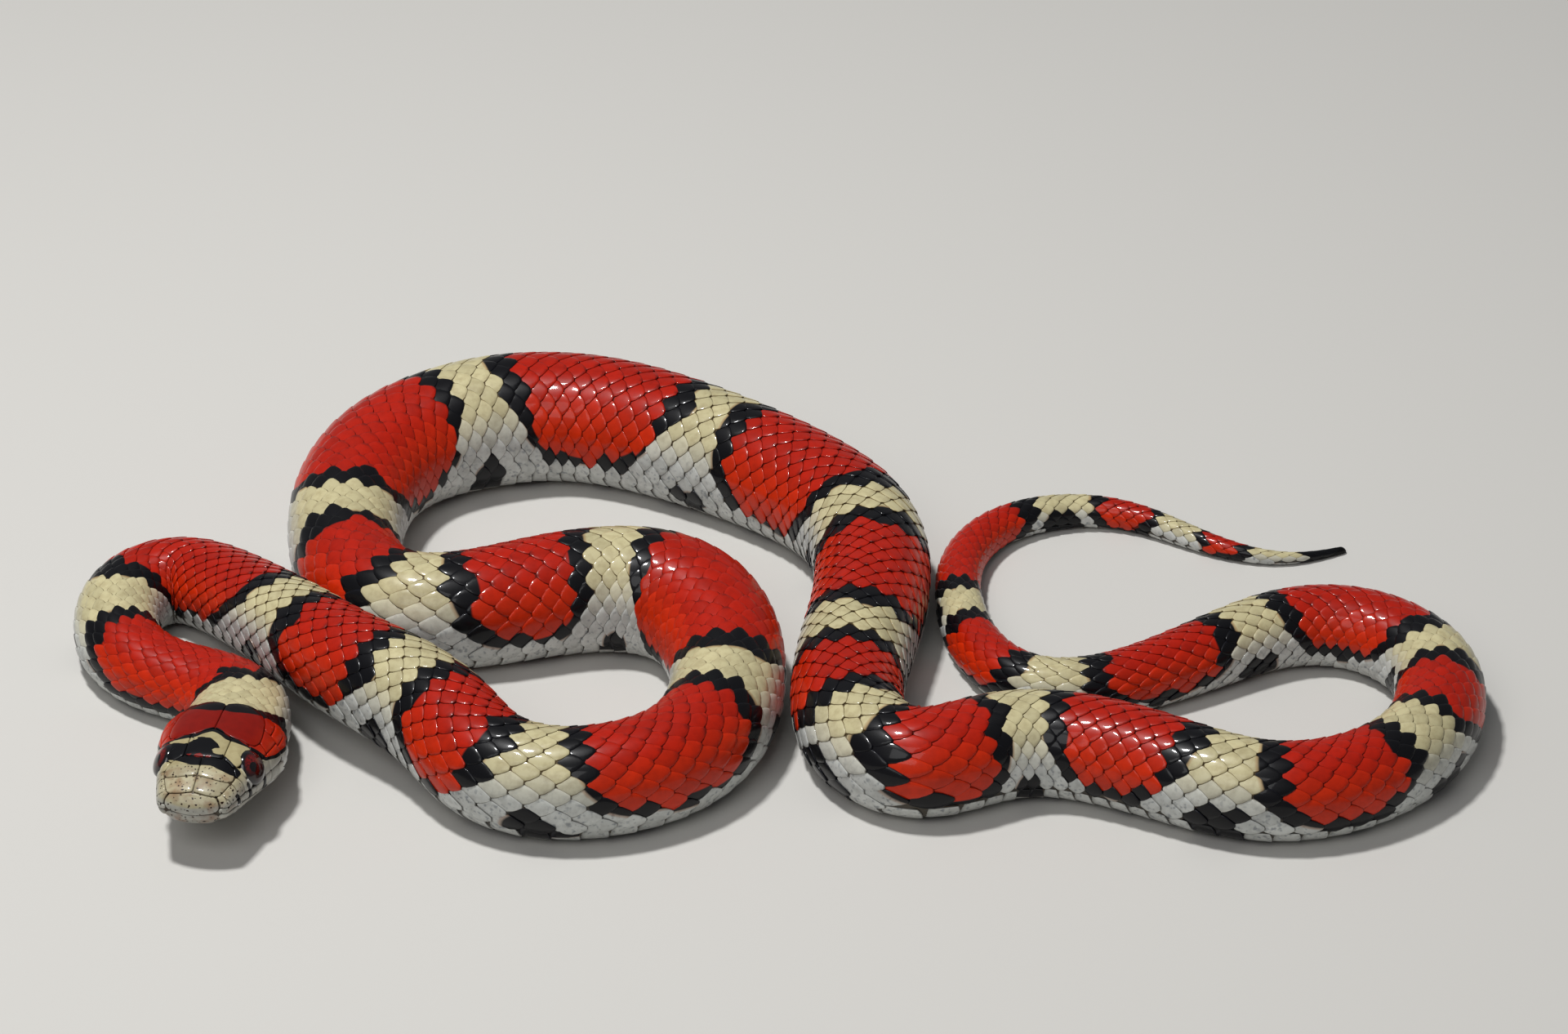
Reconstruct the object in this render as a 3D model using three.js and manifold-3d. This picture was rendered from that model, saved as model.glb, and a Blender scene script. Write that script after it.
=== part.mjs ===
// Milk snake, adult, life size, lying in loose loops on a flat floor with its head turned to the front.
// Millimetres, +Z up, the floor at z = 0. The origin is under the middle of the whole animal.
// The body is one swept form: a midline route, a girth along it and one rounded section with a flat belly.
// It is cut across into the head, the neck, ten trunk lengths and two tail lengths, with a thin gap at each cut.

import * as THREE from 'three';
import { mergeVertices } from 'three/addons/utils/BufferGeometryUtils.js';
import Module from 'manifold-3d';

// Control points of the midline on the floor, from the nape to the tail tip. The curve runs close by them.
const ROUTE = [
  [-61.65, -57.5], [-60.75, -51.7], [-64.1, -46.3], [-71, -43.5], [-77, -38], [-78.5, -29.5], [-75.5, -23],
  [-69.5, -22], [-63.3, -28.5], [-56.8, -37.8], [-51, -46.5], [-44.5, -52], [-38, -57.5], [-34, -65],
  [-27, -68.5], [-18, -67.5], [-10, -62], [-6.5, -52.5], [-6, -42], [-9.5, -31], [-18, -27],
  [-27.5, -28.5], [-36, -32], [-45, -32], [-51.5, -23.5], [-53, -12], [-51.5, -1], [-46.5, 7], [-37, 12],
  [-27, 13.8], [-17, 10.5], [-6.5, 4], [3, -3.5], [9.5, -12], [11, -24], [9, -36], [7, -46], [7, -58],
  [14.5, -66], [23, -59.5], [32, -59], [42, -64], [51.5, -69.5], [61.5, -68], [70.5, -61], [75, -51],
  [75, -40.5], [68, -32.5], [58, -31.5], [48, -38.5], [38, -44.5], [28.5, -45], [22.5, -37], [20.5, -26],
  [20.5, -15], [25, -5.5], [34, -1], [43, -2], [51, -9], [60, -12.5], [68, -8.5],
];
// The point of the route's plan that becomes the part's origin.
const PLAN_CENTRE = [-1.4, -27.7];

// Half width of the body: distance from the nape, half width.
const GIRTH = [
  [0, 6.3], [9, 5.1], [20, 4.9], [40, 5.2], [65, 5.75], [88, 6.6], [125, 6.4], [145, 6.7], [163, 7.8],
  [190, 7], [205, 6.5], [226, 7.5], [246, 8.4], [265, 8.1], [290, 7.4], [345, 6.45], [385, 6.1],
  [410, 5.5], [450, 5.05], [470, 4.3], [485, 3.7], [515, 2.8], [540, 2.3], [560, 1.5], [577, 0.45],
];
const GIRTH_BLEND = 12;
// How tall the section stands for its width: distance from the nape, share of the full height.
const TALLNESS = [[0, 0.8], [35, 1], [600, 1]];
// Where the body is held off the floor: distance from the nape, half length of the rise, height.
const RISES = [[0, 22, 1.2], [78, 36, 3.2]];

// Section of the body, as shares of the half width.
const FLANK_HEIGHT = 0.86;
const BACK_HEIGHT = 0.95;
const BELLY_DEPTH = 0.93;
const BELLY_SQUARENESS = 2.6;

// Cuts across the body, by distance from the nape, with the name of the length that starts there.
const LENGTHS = [
  ['neck', 0], ['trunk_01', 26], ['trunk_02', 72], ['trunk_03', 112], ['trunk_04', 150], ['trunk_05', 203],
  ['trunk_06', 248], ['trunk_07', 300], ['trunk_08', 334], ['trunk_09', 405], ['trunk_10', 447],
  ['tail_01', 488], ['tail_02', 530],
];
const CUT_GAP = 0.3;
const BODY_SIDES = 20;
const LONGEST_STEP = 5;
const LARGEST_TURN = THREE.MathUtils.degToRad(17);
const WALK_STEP = 0.25;

// Head, measured forward from the nape along its own axis.
const HEAD_LENGTH = 19;
const HEAD_PITCH = THREE.MathUtils.degToRad(6);
const NAPE_BEND = 5;
const HEAD_HALF_WIDTH = [
  [0, 6.3], [2, 6.9], [4.5, 7.25], [7, 7], [9.5, 6.3], [11.6, 5.75], [14, 5.15], [16, 4.65], [17.5, 4],
  [18.5, 3], [19, 1.8],
];
const HEAD_TOP = [
  [0, 4.79], [2, 4.95], [4.5, 4.95], [8, 4.6], [11, 4.15], [12.4, 3.85], [14.8, 3.15], [17.2, 2.1],
  [18.4, 1.2], [19, 0.3],
];
const HEAD_UNDERSIDE = [
  [0, 4.33], [3, 4.1], [6, 3.8], [10, 3.3], [14, 2.9], [17, 2.5], [18.3, 2], [19, 1.2],
];
const HEAD_BLEND = 0.8;
const HEAD_SQUARENESS = 2.4;
const HEAD_SIDES = 28;
const HEAD_RINGS = 22;
const SNOUT_CROWDING = 0.75;

// An eyeball is round as seen along its gaze and flatter in depth. The gaze is turned forward and up from the side.
const EYE_RADIUS = 1.98;
const EYE_HALF_DEPTH = 1.05;
const EYE_PLACE = { forward: 11.3, side: 4.88, up: 1.68 };
const EYE_TURN = THREE.MathUtils.degToRad(15);
const EYE_LIFT = THREE.MathUtils.degToRad(29);
const EYE_GAP = 0.3;
const EYE_SEGMENTS = [20, 12];

// Value of a list of [place, value] stations at a place, straight between them.
function between(stations, place) {
  const next = stations.findIndex(([at]) => at > place);
  if (next === 0) return stations[0][1];
  if (next < 0) return stations.at(-1)[1];
  const [a, b] = [stations[next - 1], stations[next]];
  return THREE.MathUtils.lerp(a[1], b[1], (place - a[0]) / (b[0] - a[0]));
}

// The same value averaged over a short stretch, which rounds the corners at the stations.
function blended(stations, place, stretch) {
  const samples = 8;
  let sum = 0;
  for (let i = 0; i < samples; i += 1) {
    sum += between(stations, place + stretch * ((i + 0.5) / samples - 0.5));
  }
  return sum / samples;
}

// A smooth curve that follows its control points and starts and ends on the first and the last.
class MidlineCurve extends THREE.Curve {
  constructor(points) {
    super();
    const ahead = points[0].clone().multiplyScalar(2).sub(points[1]);
    const behind = points.at(-1).clone().multiplyScalar(2).sub(points.at(-2));
    this.points = [ahead, ...points, behind];
    this.arcLengthDivisions = 40 * points.length;
  }

  getPoint(t, target = new THREE.Vector2()) {
    const spans = this.points.length - 3;
    const span = Math.min(Math.floor(t * spans), spans - 1);
    const w = t * spans - span;
    const weights = [(1 - w) ** 3, 3 * w ** 3 - 6 * w ** 2 + 4, -3 * w ** 3 + 3 * w ** 2 + 3 * w + 1, w ** 3];
    target.set(0, 0);
    weights.forEach((weight, i) => target.addScaledVector(this.points[span + i], weight / 6));
    return target;
  }
}

const midline = new MidlineCurve(
  ROUTE.map(([x, y]) => new THREE.Vector2(x - PLAN_CENTRE[0], y - PLAN_CENTRE[1])),
);
const bodyLength = midline.getLength();

// Height of the belly above the floor.
function rise(distance) {
  let height = 0;
  for (const [at, reach, top] of RISES) {
    const away = Math.min(Math.abs(distance - at) / reach, 1);
    height += (top * (1 + Math.cos(Math.PI * away))) / 2;
  }
  return height;
}

// Place and directions of the body at a distance behind the nape.
function bodyFrame(distance) {
  const u = distance / bodyLength;
  const place = midline.getPointAt(u);
  const along = midline.getTangentAt(u);
  return {
    place: new THREE.Vector3(place.x, place.y, rise(distance)),
    side: new THREE.Vector3(along.y, -along.x, 0),
    heading: along.angle(),
  };
}

const signedPower = (value, power) => Math.sign(value) * Math.abs(value) ** power;

// Point of the body's surface: angle 0 is the middle of the back, and the belly is flat on its floor level.
function bodyPoint(distance, angle, inset = 1) {
  const { place, side } = bodyFrame(distance);
  const halfWidth = blended(GIRTH, distance, GIRTH_BLEND);
  const tall = halfWidth * between(TALLNESS, distance);
  const down = Math.cos(angle) < 0;
  const power = down ? 2 / BELLY_SQUARENESS : 1;
  const reach = signedPower(Math.sin(angle), power) * inset;
  const lift = signedPower(Math.cos(angle), power) * inset * (down ? BELLY_DEPTH : BACK_HEIGHT);
  return place
    .addScaledVector(side, halfWidth * reach)
    .setZ(place.z + tall * Math.max(FLANK_HEIGHT + lift, 0));
}

// Distances of the rings between two cuts: close together where the body turns, further apart where it is straight.
function ringDistances(from, to) {
  const rings = [from];
  let heading = bodyFrame(from).heading;
  for (let distance = from; distance < to - WALK_STEP; distance += WALK_STEP) {
    const turn = Math.abs(Math.sin(bodyFrame(distance).heading - heading));
    if (turn > LARGEST_TURN || distance - rings.at(-1) > LONGEST_STEP) {
      rings.push(distance);
      heading = bodyFrame(distance).heading;
    }
  }
  if (to - rings.at(-1) < LONGEST_STEP / 3 && rings.length > 1) rings.pop();
  return [...rings, to];
}

// A closed cylinder whose rings and angles are carried onto a surface: surface(ringShare, angle, inset).
function closedForm(sides, rings, surface) {
  const geometry = new THREE.CylinderGeometry(1, 1, 1, sides, rings);
  geometry.deleteAttribute('normal');
  geometry.deleteAttribute('uv');
  geometry.clearGroups();
  const welded = mergeVertices(geometry, 1e-4);
  const position = welded.getAttribute('position');
  for (let i = 0; i < position.count; i += 1) {
    const [x, y, z] = [position.getX(i), position.getY(i), position.getZ(i)];
    const point = surface(y + 0.5, Math.atan2(x, z), Math.min(Math.hypot(x, z), 1));
    position.setXYZ(i, point.x, point.y, point.z);
  }
  return welded;
}

// Moves a shape's middle to its own origin and gives the mesh that place instead.
function placedMesh(name, geometry, material) {
  geometry.computeBoundingBox();
  const middle = geometry.boundingBox.getCenter(new THREE.Vector3());
  geometry.translate(-middle.x, -middle.y, -middle.z);
  geometry.computeVertexNormals();
  const mesh = new THREE.Mesh(geometry, material);
  mesh.name = name;
  mesh.position.copy(middle);
  return mesh;
}

function bodyLengthMesh(name, from, to, material) {
  const rings = ringDistances(from + CUT_GAP / 2, to - CUT_GAP / 2);
  const form = closedForm(BODY_SIDES, rings.length - 1, (share, angle, inset) => {
    const ring = Math.round(share * (rings.length - 1));
    return bodyPoint(rings[ring], angle, inset);
  });
  return placedMesh(name, form, material);
}

// Place and directions of the head's axis: it leaves the neck level and bends up to its own pitch.
function headFrame(forward) {
  const nape = bodyFrame(0);
  const flat = nape.side.clone().cross(new THREE.Vector3(0, 0, 1));
  const pitchAt = (place) => HEAD_PITCH * THREE.MathUtils.clamp(place / NAPE_BEND, 0, 1);
  const steps = 24;
  const place = nape.place.clone();
  place.z += GIRTH[0][1] * TALLNESS[0][1] * FLANK_HEIGHT;
  for (let i = 0; i < steps; i += 1) {
    const pitch = pitchAt((forward * (i + 0.5)) / steps);
    place.addScaledVector(flat, (Math.cos(pitch) * forward) / steps);
    place.z += (Math.sin(pitch) * forward) / steps;
  }
  const pitch = pitchAt(forward);
  const up = new THREE.Vector3(0, 0, Math.cos(pitch)).addScaledVector(flat, -Math.sin(pitch));
  return { place, side: nape.side, up, pitch };
}

// Point of the head's surface: share 1 is the nape and 0 the tip of the snout.
function headPoint(share, angle, inset = 1) {
  const start = CUT_GAP / 2;
  const forward = start + (HEAD_LENGTH - start) * (1 - share) ** SNOUT_CROWDING;
  const { place, side, up } = headFrame(forward);
  const value = (stations) => blended(stations, forward, HEAD_BLEND);
  const square = THREE.MathUtils.smoothstep(forward, 0, NAPE_BEND);
  const down = Math.cos(angle) < 0;
  const power = 2 / THREE.MathUtils.lerp(down ? BELLY_SQUARENESS : 2, HEAD_SQUARENESS, square);
  const reach = signedPower(Math.sin(angle), power) * inset;
  const lift = signedPower(Math.cos(angle), power) * inset;
  return place
    .addScaledVector(side, value(HEAD_HALF_WIDTH) * reach)
    .addScaledVector(up, value(down ? HEAD_UNDERSIDE : HEAD_TOP) * lift);
}

// An eyeball, larger all round by a gap: hand is +1 for the animal's left and -1 for its right.
function eyeBall(gap, hand) {
  const { place, side, up } = headFrame(EYE_PLACE.forward);
  const ahead = side.clone().cross(up);
  const gaze = side.clone().multiplyScalar(hand * Math.cos(EYE_TURN)).addScaledVector(ahead, Math.sin(EYE_TURN));
  gaze.multiplyScalar(Math.cos(EYE_LIFT)).addScaledVector(up, Math.sin(EYE_LIFT));
  place.addScaledVector(side, hand * EYE_PLACE.side).addScaledVector(up, EYE_PLACE.up);
  const ball = new THREE.SphereGeometry(EYE_RADIUS + gap, ...EYE_SEGMENTS);
  ball.scale(1, 1, (EYE_HALF_DEPTH + gap) / (EYE_RADIUS + gap));
  ball.applyQuaternion(new THREE.Quaternion().setFromUnitVectors(new THREE.Vector3(0, 0, 1), gaze));
  return ball.translate(place.x, place.y, place.z);
}

const wasm = await Module();
wasm.setup();

function toSolid(geometry) {
  const bare = geometry.clone();
  bare.deleteAttribute('normal');
  bare.deleteAttribute('uv');
  const welded = mergeVertices(bare, 1e-4);
  return new wasm.Manifold(new wasm.Mesh({
    numProp: 3,
    vertProperties: new Float32Array(welded.getAttribute('position').array),
    triVerts: new Uint32Array(welded.getIndex().array),
  }));
}

function toGeometry(solid) {
  const mesh = solid.getMesh();
  const geometry = new THREE.BufferGeometry();
  geometry.setAttribute('position', new THREE.BufferAttribute(mesh.vertProperties, 3));
  geometry.setIndex(new THREE.BufferAttribute(mesh.triVerts, 1));
  return geometry;
}

// The head with a round socket cut for each eye.
function headMesh(material) {
  let solid = toSolid(closedForm(HEAD_SIDES, HEAD_RINGS, headPoint));
  for (const hand of [1, -1]) {
    solid = solid.subtract(toSolid(eyeBall(EYE_GAP, hand)));
  }
  return placedMesh('head', toGeometry(solid), material);
}

const skin = new THREE.MeshStandardMaterial({ color: '#c02a12', roughness: 0.32, metalness: 0 });
const headSkin = new THREE.MeshStandardMaterial({ color: '#cfc6a4', roughness: 0.3, metalness: 0 });
const eyeGloss = new THREE.MeshStandardMaterial({ color: '#3a100a', roughness: 0.05, metalness: 0 });

const snake = new THREE.Group();
snake.add(headMesh(headSkin));
snake.add(placedMesh('eye_left', eyeBall(0, 1), eyeGloss));
snake.add(placedMesh('eye_right', eyeBall(0, -1), eyeGloss));
LENGTHS.forEach(([name, from], i) => {
  const to = i + 1 < LENGTHS.length ? LENGTHS[i + 1][1] : bodyLength;
  snake.add(bodyLengthMesh(name, from, to, skin));
});

export default snake;
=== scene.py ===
"""Adult milk snake, life size, at rest in loose loops: its skin, scales, head plates and eyes.

Lengths are in millimetres and are turned to metres once, when a mesh is handed to Blender. A place on the
animal is a distance and an angle. The distance runs back from the nape along the midline. On the head it is
below 0, and the head's own code counts it the other way and calls it forward. Angle 0 is the middle of the
back, half a turn is the middle of the belly, and + is the animal's left. A share is an angle measured along the
skin: 0 at the back and 1 at the middle of the belly. A hand is +1 for the animal's left and -1 for its right.
"""

import logging
import math
from dataclasses import dataclass
from enum import Enum
from typing import Any, Optional

import bpy
import numpy as np
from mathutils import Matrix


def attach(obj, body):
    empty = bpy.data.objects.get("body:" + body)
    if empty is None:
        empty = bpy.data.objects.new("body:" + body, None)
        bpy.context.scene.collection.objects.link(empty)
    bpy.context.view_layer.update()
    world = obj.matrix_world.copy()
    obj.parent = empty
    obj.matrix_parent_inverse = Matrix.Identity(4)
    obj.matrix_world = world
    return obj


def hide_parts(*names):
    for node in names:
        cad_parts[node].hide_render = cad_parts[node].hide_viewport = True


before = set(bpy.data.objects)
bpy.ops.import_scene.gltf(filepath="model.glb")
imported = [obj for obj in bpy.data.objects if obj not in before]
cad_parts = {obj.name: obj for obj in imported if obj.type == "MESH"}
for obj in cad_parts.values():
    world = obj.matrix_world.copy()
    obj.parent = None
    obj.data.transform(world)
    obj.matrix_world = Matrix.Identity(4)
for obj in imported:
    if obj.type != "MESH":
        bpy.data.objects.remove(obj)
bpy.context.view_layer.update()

Numbers = np.ndarray
Stations = tuple[tuple[float, float], ...]
Span = tuple[float, float]
Rows = tuple[tuple[Any, ...], ...]

MM = 0.001
COAT_DEPTH = 0.24
UNWRAP_MAP = "OFBake"
MERGE_DISTANCE = 1e-7
TINY = 1e-9
UP = np.array([0.0, 0.0, 1.0])
LOG = logging.getLogger("milk_snake")


def at_stations(stations: Stations, place: Numbers, stretch: float = 0.0, steps: int = 24) -> Numbers:
    """Values between (place, value) stations.

    Args:
        stations: Places in rising order, each with its value.
        place: Where the values are wanted.
        stretch: Length over which the corners at the stations are rounded.
        steps: Number of samples that the rounding takes.

    Returns:
        One value for each place.
    """
    spots, values = np.array(stations, float).T
    if stretch == 0:
        return np.interp(place, spots, values)
    offsets = (np.arange(steps) + 0.5) / steps - 0.5
    weights = 1 + np.cos(2 * math.pi * offsets)
    total = sum(w * np.interp(place + stretch * o, spots, values) for o, w in zip(offsets, weights))
    return total / weights.sum()


def eased(value: Numbers, low: float, high: float) -> Numbers:
    """Smooth step from 0 at low to 1 at high."""
    share = np.clip((value - low) / (high - low), 0, 1)
    return share * share * (3 - 2 * share)


def closing(place: Numbers, start: float, reach: float) -> Numbers:
    """Factor that rounds off a blunt end, from 1 at start to 0 one reach further."""
    return np.sqrt(np.maximum(1 - np.maximum((place - start) / reach, 0) ** 2, 0))


def signed_power(value: Numbers, power: Numbers | float) -> Numbers:
    """Power of the size of a value, with the value's own sign."""
    return np.sign(value) * np.abs(value) ** power


def inside_oval(away: Numbers, half: Numbers, down: Numbers, depth: Numbers, square: float = 2) -> Numbers:
    """Distance inside the edge of an oval.

    Args:
        away: Distance from the oval's middle along the body.
        half: Half length of the oval.
        down: Distance from its middle round the body.
        depth: Half height of the oval.
        square: 2 for an ellipse, more for squarer ends.

    Returns:
        About the distance to the edge, below 0 outside.
    """
    x, y = away / half, down / depth
    size = np.maximum((x**square + y**square) ** (1 / square), TINY)
    slope = np.hypot((x / size) ** (square - 1) / half, (y / size) ** (square - 1) / depth)
    return (1 - size) / np.maximum(slope, TINY)


@dataclass
class Midline:
    """Smooth route of the body over the floor, by distance behind the nape."""

    route: Stations = (
        (-61.65, -57.5), (-60.75, -51.7), (-64.1, -46.3), (-71, -43.5), (-77, -38), (-78.5, -29.5), (-75.5, -23),
        (-69.5, -22), (-63.3, -28.5), (-56.8, -37.8), (-51, -46.5), (-44.5, -52), (-38, -57.5), (-34, -65),
        (-27, -68.5), (-18, -67.5), (-10, -62), (-6.5, -52.5), (-6, -42), (-9.5, -31), (-18, -27),
        (-27.5, -28.5), (-36, -32), (-45, -32), (-51.5, -23.5), (-53, -12), (-51.5, -1), (-46.5, 7), (-37, 12),
        (-27, 13.8), (-17, 10.5), (-6.5, 4), (3, -3.5), (9.5, -12), (11, -24), (9, -36), (7, -46), (7, -58),
        (14.5, -66), (23, -59.5), (32, -59), (42, -64), (51.5, -69.5), (61.5, -68), (70.5, -61), (75, -51),
        (75, -40.5), (68, -32.5), (58, -31.5), (48, -38.5), (38, -44.5), (28.5, -45), (22.5, -37), (20.5, -26),
        (20.5, -15), (25, -5.5), (34, -1), (43, -2), (51, -9), (60, -12.5), (68, -8.5),
    )
    plan_centre: tuple[float, float] = (-1.4, -27.7)
    steps: int = 60

    def __post_init__(self) -> None:
        """Follows the route once, as a cubic B-spline, and keeps its points, headings and distances."""
        knots = np.array(self.route) - self.plan_centre
        knots = np.vstack([2 * knots[0] - knots[1], knots, 2 * knots[-1] - knots[-2]])
        spans = len(knots) - 3
        walk = np.linspace(0, spans, self.steps * spans + 1)
        span = np.minimum(walk.astype(int), spans - 1)
        w = (walk - span)[:, None]
        weights = ((1 - w) ** 3, 3 * w**3 - 6 * w**2 + 4, -3 * w**3 + 3 * w**2 + 3 * w + 1, w**3)
        self.curve = sum(weight * knots[span + i] for i, weight in enumerate(weights)) / 6
        self.distances = np.r_[0, np.cumsum(np.hypot(*np.diff(self.curve, axis=0).T))]
        self.length = float(self.distances[-1])
        heading = np.gradient(self.curve, axis=0)
        self.heading = heading / np.linalg.norm(heading, axis=1)[:, None]

    def along(self, distance: Numbers) -> Numbers:
        """Unit direction of travel, towards the tail, in plan."""
        heading = np.stack([np.interp(distance, self.distances, part) for part in self.heading.T], -1)
        return heading / np.linalg.norm(heading, axis=-1)[..., None]

    def place(self, distance: Numbers) -> Numbers:
        """Finds points of the route in plan.

        Args:
            distance: Distances behind the nape. Beyond both ends the route is carried on straight.

        Returns:
            Two numbers for each distance.
        """
        kept = np.clip(distance, 0, self.length)
        spot = np.stack([np.interp(kept, self.distances, part) for part in self.curve.T], -1)
        return spot + self.along(kept) * (distance - kept)[..., None]


@dataclass
class BodyForm:
    """Outer form of the neck, trunk and tail: one rounded section with a flat belly, swept along the midline."""

    midline: Midline
    girth: Stations = (
        (0, 6.3), (9, 5.1), (20, 4.9), (40, 5.2), (65, 5.75), (88, 6.6), (125, 6.4), (145, 6.7), (163, 7.8),
        (190, 7), (205, 6.5), (226, 7.5), (246, 8.4), (265, 8.1), (290, 7.4), (345, 6.45), (385, 6.1),
        (410, 5.5), (450, 5.05), (470, 4.3), (485, 3.7), (515, 2.8), (540, 2.3), (560, 1.5), (577, 0.45),
    )
    girth_blend: float = 19
    tallness: Stations = ((0, 0.8), (35, 1))
    rises: tuple[tuple[float, float, float], ...] = ((0, 22, 1.2), (78, 36, 3.2))
    flank_height: float = 0.86
    back_height: float = 0.95
    belly_depth: float = 0.93
    belly_square: float = 2.6
    belly_corner: float = 0.04
    tip_length: float = 0.8
    table_margin: float = 30
    table_step: float = 0.25
    table_turns: int = 2001

    def __post_init__(self) -> None:
        """Keeps the half width in a fine table, and the section's arc lengths."""
        self.grid = np.arange(-self.table_margin, self.midline.length + self.table_margin, self.table_step)
        self.widths = at_stations(self.girth, self.grid, self.girth_blend)
        self.angles = np.linspace(0, math.pi, self.table_turns)
        arcs = np.r_[0, np.cumsum(np.hypot(*np.diff(self.section(self.angles))))]
        self.half_round = float(arcs[-1])
        self.shares = arcs / arcs[-1]

    def half_width(self, distance: Numbers) -> Numbers:
        """Half width of the body, closing to nothing at the tail's tip."""
        tip = self.midline.length - self.tip_length
        return np.interp(distance, self.grid, self.widths) * closing(distance, tip, self.tip_length)

    def section(self, angle: Numbers) -> tuple[Numbers, Numbers]:
        """Gives the form of the section, which the half width is multiplied by.

        Args:
            angle: Angles from the middle of the back.

        Returns:
            Reach to the side, and height above the belly, which is flat with soft corners.
        """
        down = np.cos(angle) < 0
        power = np.where(down, 2 / self.belly_square, 1.0)
        lift = signed_power(np.cos(angle), power) * np.where(down, self.belly_depth, self.back_height)
        height = self.flank_height + lift
        return signed_power(np.sin(angle), power), (height + np.sqrt(height**2 + self.belly_corner**2)) / 2

    def angle_of(self, share: Numbers) -> Numbers:
        """Angle at a share of the way from the back to the belly's middle, on either side."""
        share = (share + 1) % 2 - 1
        return np.sign(share) * np.interp(np.abs(share), self.shares, self.angles)

    def share_of(self, angle: Numbers) -> Numbers:
        """Unsigned share of the way from the back to the belly's middle at an angle."""
        return np.interp(np.abs((angle + math.pi) % (2 * math.pi) - math.pi), self.angles, self.shares)

    def rise(self, distance: Numbers) -> Numbers:
        """Height of the belly above the floor, from humps that each have a place, a reach and a top."""
        away = [np.minimum(np.abs(distance - at) / reach, 1) for at, reach, _ in self.rises]
        return sum(top * (1 + np.cos(math.pi * a)) / 2 for a, (_, _, top) in zip(away, self.rises))

    def point(self, distance: Numbers, angle: Numbers) -> Numbers:
        """Finds points of the body's surface.

        Args:
            distance: Distances behind the nape.
            angle: Angles from the middle of the back.

        Returns:
            Three numbers for each place.
        """
        place, along = self.midline.place(distance), self.midline.along(distance)
        width = self.half_width(distance)
        reach, height = self.section(angle)
        x = place[..., 0] + along[..., 1] * width * reach
        y = place[..., 1] - along[..., 0] * width * reach
        z = self.rise(distance) + width * at_stations(self.tallness, distance) * height
        return np.stack([x, y, z], -1)


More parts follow.
